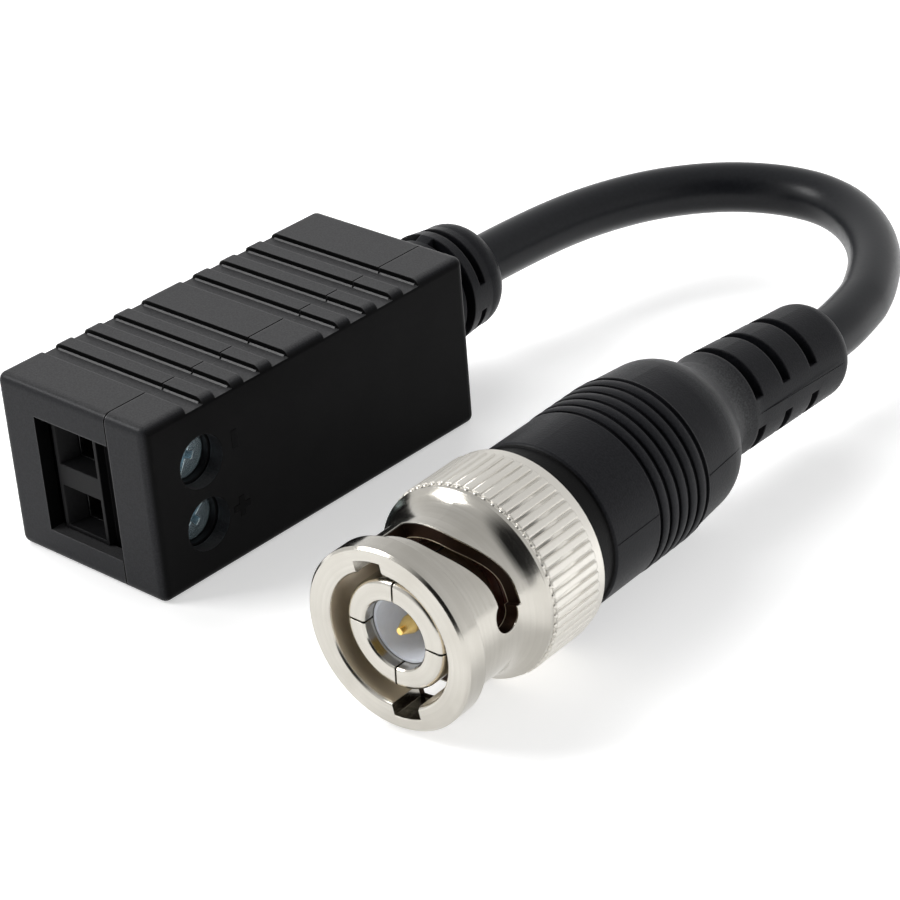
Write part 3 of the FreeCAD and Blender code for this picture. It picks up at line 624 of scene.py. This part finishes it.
def nickel_plate():
    material, tree, shader, coordinates = new_finish("nickel_plate_finish", metallic=1.0)
    station, radius = plug_frame(tree, coordinates)
    fine = grain(tree, coordinates, 0.09, 2.0)
    clouds = grain(tree, coordinates, 2.5, 2.0)
    lathe = turning_marks(tree, station, radius, LATHE_PITCH)
    knurl = within(tree, station, KNURL_STATIONS, 0.08)
    bore = arithmetic(tree, "MULTIPLY", within(tree, station, BORE_STATIONS, 0.1),
                      within(tree, radius, BORE_RADII, 0.02))
    slot_wall = arithmetic(tree, "MULTIPLY", within(tree, station, SLOT_STATIONS, 0.02),
                           within(tree, radius, SLOT_RADII, 0.02))
    colour = shades(tree, blend_values(tree, clouds, clouds, lathe), *PLATE_SHADES)
    rough = blend_values(tree, knurl, spread(tree, lathe, *POLISHED_NICKEL),
                         spread(tree, fine, *SATIN_NICKEL))
    # Painted light on the knurl and painted shade on the slot walls go into the colour here.
    for place, place_colour in ((knurl, KNURL_PAINTED_LIGHT_COLOUR), (bore, BORE_COLOUR),
                                (slot_wall, SLOT_PAINTED_SHADE_COLOUR)):
        colour = blend_colours(tree, place, colour, place_colour)
    for place, roughness in ((bore, BORE_ROUGHNESS), (slot_wall, SLOT_ROUGHNESS)):
        rough = blend_values(tree, place, rough, roughness)
    tree.links.new(colour, shader.inputs["Base Color"])
    tree.links.new(rough, shader.inputs["Roughness"])
    edge = spread(tree, knurl, POLISHED_EDGE * MM, KNURL_EDGE * MM, 0.0, 1.0)
    marks = blend_values(tree, knurl, lathe, fine)
    relief_normal(tree, shader, marks, LATHE_DEPTH, rounded_edges(tree, edge))
    return material


nickel_finish = nickel_plate()
print(nickel_finish.name)

# %% [markdown]
# ## Rubber
# The boot and the relief are moulded in one soft black rubber with a fine grain. Two places
# on the boot get painted light and shade: the narrow nose behind the nut is painted black,
# as painted shade for the recess behind the nut, and the waist gets a painted highlight of
# soft grey. Both are colour, so they show from every side. They are rings about the plug's
# axis, so the stations that the nickel uses find them too.

# %% Rubber
RUBBER_GRAIN = 0.14
RUBBER_RELIEF = 0.018
RUBBER_EDGE = 0.2
RUBBER_ROUGHNESS = (0.36, 0.46)
RUBBER_SHADES = ((0.0036, 0.0038, 0.0050), (0.0094, 0.0097, 0.0116))
# The waist's lighter grey is a painted highlight.
WAIST_PAINTED_HIGHLIGHT_SHADES = ((0.030, 0.0304, 0.0316), (0.062, 0.0626, 0.0645))
# The nose's near black is painted shade: the shade in the recess behind the nut.
NOSE_PAINTED_SHADE_COLOUR = (0.0012, 0.0012, 0.0014)
NOSE_STATIONS = (14.2, 16.33)
WAIST_STATIONS = (31.4, 36.6)
WAIST_BLUR = 1.3


def moulded_rubber():
    material, tree, shader, coordinates = new_finish("moulded_rubber_finish", specular=0.12)
    fine = grain(tree, coordinates, RUBBER_GRAIN)
    station = plug_frame(tree, coordinates)[0]
    waist = within(tree, station, WAIST_STATIONS, WAIST_BLUR)
    nose = within(tree, station, NOSE_STATIONS, 0.02)
    # The waist gets a painted highlight here: a lighter grey between its stations.
    colour = blend_colours(tree, waist, shades(tree, fine, *RUBBER_SHADES),
                           shades(tree, fine, *WAIST_PAINTED_HIGHLIGHT_SHADES))
    # The nose gets its painted shade here.
    tree.links.new(blend_colours(tree, nose, colour, NOSE_PAINTED_SHADE_COLOUR), shader.inputs["Base Color"])
    tree.links.new(spread(tree, fine, *RUBBER_ROUGHNESS), shader.inputs["Roughness"])
    relief_normal(tree, shader, fine, RUBBER_RELIEF, rounded_edges(tree, RUBBER_EDGE))
    return material


rubber_finish = moulded_rubber()
print(rubber_finish.name)

# %% [markdown]
# ## The other finishes
# The cable's jacket has the boot's colour but is smoother. Inside the box and the plug are
# brass, zinc, gold, ferrite, enamel and insulation. A reader can see most of them only when
# the box is taken apart, but each gets its own grain and roughness. They differ in
# numbers and not in kind, so they are one table and one function. The record says which
# slot each solid has, and the loop gives every solid the finish of its slot.

# %% Table of plain finishes
PLAIN_FINISHES = {
    "block_plastic": {"dark": (0.0040, 0.0040, 0.0044), "light": (0.0070, 0.0070, 0.0076),
                      "roughness": (0.40, 0.50), "grain_mm": 0.2, "bump_mm": 0.004,
                      "specular": 0.10, "edge_mm": 0.12},
    "cable_jacket": {"dark": (0.0060, 0.0065, 0.0080), "light": (0.0085, 0.0092, 0.0110),
                     "roughness": (0.30, 0.36), "grain_mm": 0.3, "bump_mm": 0.003,
                     "specular": 0.2},
    "zinc_screw": {"dark": (0.58, 0.74, 0.82), "light": (0.70, 0.87, 0.95),
                   "roughness": (0.18, 0.24), "grain_mm": 1.1, "bump_mm": 0.001,
                   "metallic": 0.85, "edge_mm": 0.16},
    # zinc_steel is painted very dark: painted shade for the terminal parts deep inside the box.
    "zinc_steel": {"dark": (0.05, 0.05, 0.052), "light": (0.09, 0.09, 0.092),
                   "roughness": (0.3, 0.45), "grain_mm": 0.4, "bump_mm": 0.003,
                   "metallic": 1.0, "edge_mm": 0.08},
    "brass_strip": {"dark": (0.62, 0.42, 0.16), "light": (0.75, 0.53, 0.24),
                    "roughness": (0.2, 0.3), "grain_mm": 0.4, "bump_mm": 0.002,
                    "metallic": 1.0, "edge_mm": 0.05},
    "gold_plate": {"dark": (0.85, 0.58, 0.18), "light": (0.95, 0.68, 0.26),
                   "roughness": (0.12, 0.2), "grain_mm": 0.3, "bump_mm": 0.001,
                   "metallic": 1.0, "edge_mm": 0.1},
    "pale_insulator": {"dark": (0.76, 0.80, 0.88), "light": (0.80, 0.84, 0.92),
                       "roughness": (0.4, 0.5), "grain_mm": 0.4, "bump_mm": 0.002,
                       "edge_mm": 0.08},
    "red_silicone": {"dark": (0.050, 0.010, 0.006), "light": (0.075, 0.014, 0.009),
                     "roughness": (0.4, 0.5), "grain_mm": 0.3, "bump_mm": 0.002},
    "board_laminate": {"dark": (0.01, 0.09, 0.03), "light": (0.02, 0.13, 0.05),
                       "roughness": (0.3, 0.4), "grain_mm": 0.5, "bump_mm": 0.002},
    "ferrite": {"dark": (0.03, 0.03, 0.032), "light": (0.06, 0.06, 0.062),
                "roughness": (0.6, 0.75), "grain_mm": 0.2, "bump_mm": 0.01, "edge_mm": 0.2},
    "enamel_copper": {"dark": (0.40, 0.10, 0.03), "light": (0.52, 0.16, 0.05),
                      "roughness": (0.2, 0.3), "grain_mm": 0.3, "bump_mm": 0.001,
                      "metallic": 1.0},
    "component_black": {"dark": (0.010, 0.010, 0.010), "light": (0.02, 0.02, 0.02),
                        "roughness": (0.5, 0.6), "grain_mm": 0.2, "bump_mm": 0.003},
    "component_tan": {"dark": (0.30, 0.19, 0.09), "light": (0.38, 0.25, 0.13),
                      "roughness": (0.4, 0.5), "grain_mm": 0.2, "bump_mm": 0.003},
    "core_insulation": {"dark": (0.70, 0.70, 0.68), "light": (0.78, 0.78, 0.76),
                        "roughness": (0.4, 0.5), "grain_mm": 0.3, "bump_mm": 0.002},
    "tinned_copper": {"dark": (0.60, 0.58, 0.54), "light": (0.72, 0.70, 0.66),
                      "roughness": (0.25, 0.35), "grain_mm": 0.2, "bump_mm": 0.003,
                      "metallic": 1.0},
    "spring_steel": {"dark": (0.42, 0.42, 0.43), "light": (0.55, 0.55, 0.56),
                     "roughness": (0.2, 0.3), "grain_mm": 0.3, "bump_mm": 0.001,
                     "metallic": 1.0},
}
finishes = {slot: plain_finish(slot + "_finish", **look) for slot, look in PLAIN_FINISHES.items()}
finishes["case_plastic"] = case_finish
finishes["nickel_plate"] = nickel_finish
finishes["moulded_rubber"] = rubber_finish
print("finishes", len(finishes))

# %% Dress the solids
slot_of = {part["node"]: part["material_slot"] for part in frame["record"]["subparts"]}


def dress(node_name):
    """Gives a CAD node the finish of its slot."""
    node = frame["nodes"][node_name]
    finish = finishes[slot_of[node_name]]
    if not node.material_slots:
        node.data.materials.append(finish)
    for slot in node.material_slots:
        slot.material = finish


for node_name in frame["nodes"]:
    dress(node_name)
print("dressed", len(frame["nodes"]), "nodes")

# %% [markdown]
# ## The cable as a cord
# The solids hold the cable as a stiff tube of runs and arcs. The curve takes its place: it
# gets the jacket's finish, the solid cable is hidden, and the curve joins the balun's body.

# %% The cable as a cord
cable.data.materials.append(finishes["cable_jacket"])
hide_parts("cable")
show(cable, "balun")

# %% [markdown]
# ## A builder for what repeats
# Windings, tooth ends and ribs all repeat one small shape along or round an axis. They could
# be copied in a Python loop, but a Geometry Nodes tree keeps the count, the pitch and the
# sizes as named inputs, so that a reader can change them and see the row change. Every tree
# here stands on the Z axis. The finished mesh is then carried to its place once.

# %% Trees and their inputs
def new_builder(name, inputs):
    """An empty tree with named inputs; returns it and its input node."""
    tree = bpy.data.node_groups.new(name, "GeometryNodeTree")
    for label, kind in inputs:
        tree.interface.new_socket(label, in_out="INPUT", socket_type="NodeSocket" + kind)
    tree.interface.new_socket("Geometry", in_out="OUTPUT", socket_type="NodeSocketGeometry")
    return tree, tree.nodes.new("NodeGroupInput")


def add(tree, kind, links=(), **settings):
    """A node of a tree, with its links given as (socket, source) and its plain settings."""
    node = tree.nodes.new(kind)
    for name, value in settings.items():
        setattr(node, name, value)
    for socket, source in links:
        if hasattr(source, "is_output"):
            tree.links.new(source, node.inputs[socket])
        else:
            node.inputs[socket].default_value = source
    return node


def combine(tree, x=0.0, y=0.0, z=0.0):
    return add(tree, "ShaderNodeCombineXYZ", (("X", x), ("Y", y), ("Z", z))).outputs[0]


print("tree builder ready")

# %% Rows and finished meshes
def repeat(tree, shape, count, step_turn=0.0, step_rise=0.0, first_turn=0.0):
    """Instances of a shape, each turned about Z and raised by one step more than the last."""
    index = tree.nodes.new("GeometryNodeInputIndex").outputs[0]
    turn = arithmetic(tree, "ADD", arithmetic(tree, "MULTIPLY", index, step_turn), first_turn)
    rise = arithmetic(tree, "MULTIPLY", index, step_rise)
    points = add(tree, "GeometryNodePoints", (("Count", count), ("Position", combine(tree, z=rise))))
    rotation = add(tree, "FunctionNodeEulerToRotation", (("Euler", combine(tree, z=turn)),))
    return add(tree, "GeometryNodeInstanceOnPoints",
               (("Points", points.outputs[0]), ("Instance", shape),
                ("Rotation", rotation.outputs[0]))).outputs[0]


def close_tree(tree, geometry, finish, smooth=True):
    """Ends a tree: real meshes, smooth or flat faces, one finish."""
    real = add(tree, "GeometryNodeRealizeInstances", (("Geometry", geometry),))
    shaded = add(tree, "GeometryNodeSetShadeSmooth", (("Geometry", real.outputs[0]),
                                                      ("Shade Smooth", smooth)))
    painted = add(tree, "GeometryNodeSetMaterial", (("Geometry", shaded.outputs[0]),
                                                    ("Material", finish)))
    output = tree.nodes.new("NodeGroupOutput")
    tree.links.new(painted.outputs[0], output.inputs[0])


def grow(name, tree, values, place):
    """Runs a tree once and returns its result as a plain mesh object, carried to its place."""
    seed = bpy.data.objects.new(name + "_seed", bpy.data.meshes.new(name + "_seed"))
    bpy.context.scene.collection.objects.link(seed)
    modifier = seed.modifiers.new("builder", "NODES")
    modifier.node_group = tree
    for item in tree.interface.items_tree:
        if item.in_out == "INPUT" and item.name in values:
            modifier[item.identifier] = values[item.name]
    graph = bpy.context.evaluated_depsgraph_get()
    mesh = bpy.data.meshes.new_from_object(seed.evaluated_get(graph))
    bpy.data.objects.remove(seed)
    mesh.name = name
    mesh.transform(place)
    piece = bpy.data.objects.new(name, mesh)
    bpy.context.scene.collection.objects.link(piece)
    print(name, len(mesh.polygons), "faces")
    return piece


UPRIGHT_TO_PLUG = (Matrix.Translation(PLUG_FRONT) @ Matrix.Rotation(PLUG_YAW, 4, "Z")
                   @ Matrix.Rotation(math.radians(-90), 4, "X"))
print("rows and meshes ready")

# %% [markdown]
# ## Transformer windings
# Two windings of enamelled wire lie opposite each other on the ring core: that is what
# turns a signal on two plain wires into one for a coaxial cable. The solids stand for each
# winding with blocky turns. Here each turn is a rounded rectangle of round wire that hugs
# the ring's section, and the tree sets five of them 30 degrees apart.

# %% Windings
def winding_tree():
    tree, given = new_builder("winding", (("Turns", "Int"), ("Step", "Float"), ("First", "Float"),
                                          ("Wire", "Float"), ("Across", "Float"),
                                          ("Along", "Float"), ("Middle", "Float")))
    wide = arithmetic(tree, "ADD", given.outputs["Across"], given.outputs["Wire"])
    tall = arithmetic(tree, "ADD", given.outputs["Along"], given.outputs["Wire"])
    loop = add(tree, "GeometryNodeCurvePrimitiveQuadrilateral", (("Width", wide), ("Height", tall)))
    bent = add(tree, "GeometryNodeFilletCurve",
               (("Curve", loop.outputs[0]), ("Radius", given.outputs["Wire"]), ("Count", 3)),
               mode="POLY")
    half = arithmetic(tree, "MULTIPLY", given.outputs["Wire"], 0.5)
    section = add(tree, "GeometryNodeCurvePrimitiveCircle", (("Resolution", 8), ("Radius", half)))
    wire = add(tree, "GeometryNodeCurveToMesh", (("Curve", bent.outputs[0]),
                                                 ("Profile Curve", section.outputs[0])))
    upright = add(tree, "GeometryNodeTransform",
                  (("Geometry", wire.outputs[0]),
                   ("Translation", combine(tree, x=given.outputs["Middle"])),
                   ("Rotation", (math.radians(90), 0, 0))))
    turns = repeat(tree, upright.outputs[0], given.outputs["Turns"], given.outputs["Step"],
                   first_turn=given.outputs["First"])
    close_tree(tree, turns, finishes["enamel_copper"])
    return tree


RING_CORE = metres(-4.54, 0.2, 7.5)
UPRIGHT_TO_CORE = (Matrix.Translation(RING_CORE)
                   @ Matrix(((0, 0, 1), (1, 0, 0), (0, 1, 0))).to_4x4())
FIRST_TURNS = {"line_winding": -60, "camera_winding": 120}
winding = winding_tree()
for name, first in FIRST_TURNS.items():
    piece = grow(name + "_wire", winding,
                 {"Turns": 5, "Step": math.radians(30), "First": math.radians(first),
                  "Wire": 0.36 * MM, "Across": 1.7 * MM, "Along": 3.0 * MM, "Middle": 2.55 * MM},
                 UPRIGHT_TO_CORE)
    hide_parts(name)
    show(piece, "balun")

# %% [markdown]
# ## Knurl ends
# The nut has a straight knurl, and in the photograph each tooth ends in a small rounded
# bead at the shoulder. The solids end the teeth square. The tree makes one
# egg-shaped bead and sets sixty of them round the nut, one for each tooth.

# %% Knurl ends
def bead_tree():
    tree, given = new_builder("knurl_bead", (("Teeth", "Int"), ("Radius", "Float"),
                                             ("Station", "Float"), ("Size", "Vector")))
    ball = add(tree, "GeometryNodeMeshUVSphere", (("Segments", 8), ("Rings", 6), ("Radius", 1.0)))
    place = combine(tree, x=given.outputs["Radius"], z=given.outputs["Station"])
    egg = add(tree, "GeometryNodeTransform", (("Geometry", ball.outputs[0]), ("Translation", place),
                                              ("Scale", given.outputs["Size"])))
    step = arithmetic(tree, "DIVIDE", 2 * math.pi, given.outputs["Teeth"])
    half_step = arithmetic(tree, "MULTIPLY", step, 0.5)
    row = repeat(tree, egg.outputs[0], given.outputs["Teeth"], step, first_turn=half_step)
    close_tree(tree, row, nickel_finish)
    return tree


knurl_ends = grow("knurl_ends", bead_tree(),
                  {"Teeth": 60, "Radius": 7.04 * MM, "Station": 8.72 * MM,
                   "Size": (0.19 * MM, 0.27 * MM, 0.26 * MM)}, UPRIGHT_TO_PLUG)
show(knurl_ends, "coupling_nut")

# %% [markdown]
# ## Knurl floor
# In the photograph the knurl's grooves stay light, as shallow ones would. The solids cut
# them 0.26 mm deep, which renders them too dark. A plain ring inside the
# teeth lifts their floor. It is a thin rectangle carried round a circle, and its named
# inputs give the radius, the place and the length of the knurl.
# %% Knurl floor
def floor_tree():
    tree, given = new_builder("knurl_floor", (("Radius", "Float"), ("From", "Float"),
                                              ("Length", "Float"), ("Wall", "Float")))
    half = arithmetic(tree, "MULTIPLY", given.outputs["Length"], 0.5)
    middle = arithmetic(tree, "ADD", given.outputs["From"], half)
    inner = arithmetic(tree, "SUBTRACT", given.outputs["Radius"],
                       arithmetic(tree, "MULTIPLY", given.outputs["Wall"], 0.5))
    path = add(tree, "GeometryNodeCurvePrimitiveCircle", (("Resolution", 180), ("Radius", inner)))
    section = add(tree, "GeometryNodeCurvePrimitiveQuadrilateral",
                  (("Width", given.outputs["Wall"]), ("Height", given.outputs["Length"])))
    ring = add(tree, "GeometryNodeCurveToMesh", (("Curve", path.outputs[0]),
                                                 ("Profile Curve", section.outputs[0])))
    lifted = add(tree, "GeometryNodeTransform", (("Geometry", ring.outputs[0]),
                                                 ("Translation", combine(tree, z=middle))))
    close_tree(tree, lifted.outputs[0], nickel_finish)
    return tree


knurl_floor = grow("knurl_floor", floor_tree(),
                   {"Radius": 7.14 * MM, "From": 8.74 * MM, "Length": 4.53 * MM,
                    "Wall": 0.1 * MM}, UPRIGHT_TO_PLUG)
show(knurl_floor, "coupling_nut")

# %% [markdown]
# ## Grip ribs
# Six shallow grooves run round the boot so that fingers don't slip. In the photograph the
# lands between them look like rounded ribs. A ring with an oval section lies on each
# land, and the tree repeats it along the axis at the pitch of the grooves.

# %% Grip ribs
def rib_tree():
    tree, given = new_builder("grip_rib", (("Ribs", "Int"), ("Pitch", "Float"), ("First", "Float"),
                                           ("Radius", "Float"), ("Half width", "Float"),
                                           ("Half height", "Float")))
    path = add(tree, "GeometryNodeCurvePrimitiveCircle", (("Resolution", 160),
                                                          ("Radius", given.outputs["Radius"])))
    oval = add(tree, "GeometryNodeCurvePrimitiveCircle", (("Resolution", 16), ("Radius", 1.0)))
    flat = add(tree, "GeometryNodeTransform",
               (("Geometry", oval.outputs[0]),
                ("Scale", combine(tree, given.outputs["Half height"],
                                  given.outputs["Half width"], 1.0))))
    ring = add(tree, "GeometryNodeCurveToMesh", (("Curve", path.outputs[0]),
                                                 ("Profile Curve", flat.outputs[0])))
    lifted = add(tree, "GeometryNodeTransform",
                 (("Geometry", ring.outputs[0]),
                  ("Translation", combine(tree, z=given.outputs["First"]))))
    row = repeat(tree, lifted.outputs[0], given.outputs["Ribs"],
                 step_rise=given.outputs["Pitch"])
    close_tree(tree, row, rubber_finish)
    return tree


BOOT_FRONT = 14.45
FIRST_GROOVE = 7.15
GROOVE_PITCH = 1.1
FIRST_LAND = BOOT_FRONT + FIRST_GROOVE + GROOVE_PITCH / 2
grip_ribs = grow("grip_ribs", rib_tree(),
                 {"Ribs": 5, "Pitch": GROOVE_PITCH * MM, "First": FIRST_LAND * MM,
                  "Radius": 6.43 * MM, "Half width": 0.41 * MM, "Half height": 0.12 * MM},
                 UPRIGHT_TO_PLUG)
show(grip_ribs, "balun")

# %% [markdown]
# ## Parting lines of the boot
# A boot like this is moulded over the cable in a mould of two halves, and where they meet,
# a hair of rubber is left. The photograph shows the line on the right, and the left one
# is set opposite to it. It is too thin for the solids. A poly curve through a
# few points of the boot's own profile gives it a round section that is half sunk in the
# rubber. It leaves out the grooves and the waist, and on the bent tail it follows the
# line from the bend to the tail's end.

# %% Parting lines
PARTING_ANGLE = 84
PARTING_RUNS = {
    "front": [(16.6, 6.5), (21.4, 6.5)],
    "rear": [(27.6, 6.41), (29.5, 6.24), (31.2, 6.08), (31.9, 5.92)],
}
TAIL_BEND = metres(29.791, 16.957, 7.26)
TAIL_END = metres(29.65, 31.09, 6.65)
TAIL_RUN = [(1.8, 4.10), (12.2, 4.06)]
TAIL_AXIS = (TAIL_END - TAIL_BEND).normalized()
TAIL_RIGHT = TAIL_AXIS.cross(Vector((0, 0, 1))).normalized()
TAIL_UP = TAIL_RIGHT.cross(TAIL_AXIS)
PARTING_DIAMETER = 0.07


def on_plug(station, radius, angle):
    """A point beside the plug's axis, at an angle from straight up towards the right."""
    turn = math.radians(angle)
    flat = metres(radius * math.sin(turn), -radius * math.cos(turn), station)
    return UPRIGHT_TO_PLUG @ flat


def on_tail(distance, radius, angle):
    """A point beside the boot's bent tail, at a distance behind the bend."""
    turn = math.radians(angle)
    outward = TAIL_RIGHT * math.sin(turn) + TAIL_UP * math.cos(turn)
    return TAIL_BEND + TAIL_AXIS * distance * MM + outward * radius * MM


def parting_line(name, points):
    data = bpy.data.curves.new(name, "CURVE")
    data.dimensions = "3D"
    spline = data.splines.new("POLY")
    spline.points.add(len(points) - 1)
    for point, place in zip(spline.points, points):
        point.co = (*place, 1)
    data.bevel_depth = PARTING_DIAMETER / 2 * MM
    data.bevel_resolution = 1
    data.use_fill_caps = True
    seed = bpy.data.objects.new(name + "_seed", data)
    bpy.context.scene.collection.objects.link(seed)
    graph = bpy.context.evaluated_depsgraph_get()
    mesh = bpy.data.meshes.new_from_object(seed.evaluated_get(graph))
    bpy.data.objects.remove(seed)
    mesh.materials.append(rubber_finish)
    piece = bpy.data.objects.new(name, mesh)
    bpy.context.scene.collection.objects.link(piece)
    show(piece, "balun")


for side_name, angle in (("right", PARTING_ANGLE), ("left", PARTING_ANGLE + 180)):
    for place, run in PARTING_RUNS.items():
        parting_line("parting_line_" + place + "_" + side_name,
                     [on_plug(station, radius, angle) for station, radius in run])
    parting_line("parting_line_tail_" + side_name,
                 [on_tail(distance, radius, angle) for distance, radius in TAIL_RUN])

# %% [markdown]
# ## Feet of the channel walls
# Each channel in the top ends at an upright wall. In the photograph a thin bright line runs
# under each dark wall, as a narrow slope at its foot would draw it. A bar with a square
# section, turned by 45 degrees and half sunk into the corner, shows just that slope. The
# tree sets eight of them in two groups of four.

# %% Channel feet
def foot_tree():
    tree, given = new_builder("channel_foot", (("Count", "Int"), ("Group", "Int"),
                                               ("Pitch", "Float"), ("Group gap", "Float"),
                                               ("Length", "Float"), ("Slope", "Float")))
    bar = add(tree, "GeometryNodeMeshCylinder", (("Vertices", 4), ("Radius", given.outputs["Slope"]),
                                                 ("Depth", given.outputs["Length"])))
    level = add(tree, "GeometryNodeTransform", (("Geometry", bar.outputs[0]),
                                                ("Rotation", (0, math.radians(90), 0))))
    index = tree.nodes.new("GeometryNodeInputIndex").outputs[0]
    group = arithmetic(tree, "FLOOR", arithmetic(tree, "DIVIDE", index, given.outputs["Group"]))
    rise = arithmetic(tree, "ADD", arithmetic(tree, "MULTIPLY", index, given.outputs["Pitch"]),
                      arithmetic(tree, "MULTIPLY", group, given.outputs["Group gap"]))
    points = add(tree, "GeometryNodePoints", (("Count", given.outputs["Count"]),
                                              ("Position", combine(tree, z=rise))))
    row = add(tree, "GeometryNodeInstanceOnPoints", (("Points", points.outputs[0]),
                                                     ("Instance", level.outputs[0])))
    close_tree(tree, row.outputs[0], foot_finish, smooth=False)
    return tree


BOX_FRONT = -16.6
FIRST_WALL = BOX_FRONT + 5.75
CHANNEL_PITCH = 2.85
GROUP_GAP = 2.45
FEET_ENDS = {"body_channel_feet": (-7.4, 3.66), "cover_channel_feet": (3.84, 7.35)}
foot_finish = plain_finish("channel_foot_finish", (0.010, 0.010, 0.011), (0.016, 0.016, 0.017),
                           (0.32, 0.40), 0.12, 0.003, specular=0.26)
channel_foot = foot_tree()
for name, (left, right) in FEET_ENDS.items():
    to_box = (Matrix.Translation(metres((left + right) / 2, FIRST_WALL, CHANNEL_FLOOR))
              @ Matrix.Rotation(math.radians(-90), 4, "X"))
    piece = grow(name, channel_foot,
                 {"Count": 8, "Group": 4, "Pitch": CHANNEL_PITCH * MM,
                  "Group gap": GROUP_GAP * MM, "Length": (right - left) * MM,
                  "Slope": 0.11 * MM}, to_box)
    show(piece, "balun")

# %% [markdown]
# ## Polarity marks
# A minus and a plus stand beside the two screws, because the two halves of a pair must go
# to the same terminals at both ends. They are hard to see in the photograph. Here they are
# low dark plates with sloped sides, a few hundredths of a millimetre proud of the wall.

# %% Polarity marks
WALL = 7.8
MARK_HEIGHT = 0.035
MARK_SUNK = 0.05
MARK_TOP_SHARE = 0.93
MARK_MIDDLE = -8.35
MINUS_RISE = 9.85
MINUS_SIZE = (0.55, 1.5)
PLUS_RISE = 4.35
PLUS_SIZE = 1.7
PLUS_STROKE = 0.5


def mark_plate(name, outline):
    """A low plate on the box's side from a closed outline of (y, z) in millimetres."""
    middle = Vector((sum(y for y, z in outline), sum(z for y, z in outline))) / len(outline)
    count = len(outline)
    points = []
    for height, shrink in ((-MARK_SUNK, 1.0), (0.0, 1.0), (MARK_HEIGHT, MARK_TOP_SHARE)):
        for y, z in outline:
            flat = middle + (Vector((y, z)) - middle) * shrink
            points.append(metres(WALL + height, flat.x, flat.y))
    faces = [list(range(count))[::-1], list(range(2 * count, 3 * count))]
    for level in (0, count):
        for corner in range(count):
            after = (corner + 1) % count
            faces.append([level + corner, level + after, level + count + after,
                          level + count + corner])
    mesh = bpy.data.meshes.new(name)
    mesh.from_pydata(points, [], faces)
    mesh.materials.append(mark_finish)
    piece = bpy.data.objects.new(name, mesh)
    bpy.context.scene.collection.objects.link(piece)
    show(piece, "balun")


def bar(middle_y, middle_z, size):
    """The outline of an upright bar."""
    half_y, half_z = size[0] / 2, size[1] / 2
    return [(middle_y + side_y * half_y, middle_z + side_z * half_z)
            for side_y, side_z in ((-1, -1), (1, -1), (1, 1), (-1, 1))]


def cross(middle_y, middle_z, size, stroke):
    """The outline of a cross: three corners of one arm, turned four times."""
    quarter = [(stroke / 2, size / 2), (-stroke / 2, size / 2), (-stroke / 2, stroke / 2)]
    outline = []
    for _ in range(4):
        outline += quarter
        quarter = [(-z, y) for y, z in quarter]
    return [(middle_y + y, middle_z + z) for y, z in outline]


mark_finish = plain_finish("polished_mark_finish", (0.0008, 0.0008, 0.0009),
                           (0.0014, 0.0014, 0.0015), (0.16, 0.22), 0.2, 0.002, specular=0.04)
mark_plate("minus_mark", bar(MARK_MIDDLE, MINUS_RISE, MINUS_SIZE))
mark_plate("plus_mark", cross(MARK_MIDDLE, PLUS_RISE, PLUS_SIZE, PLUS_STROKE))
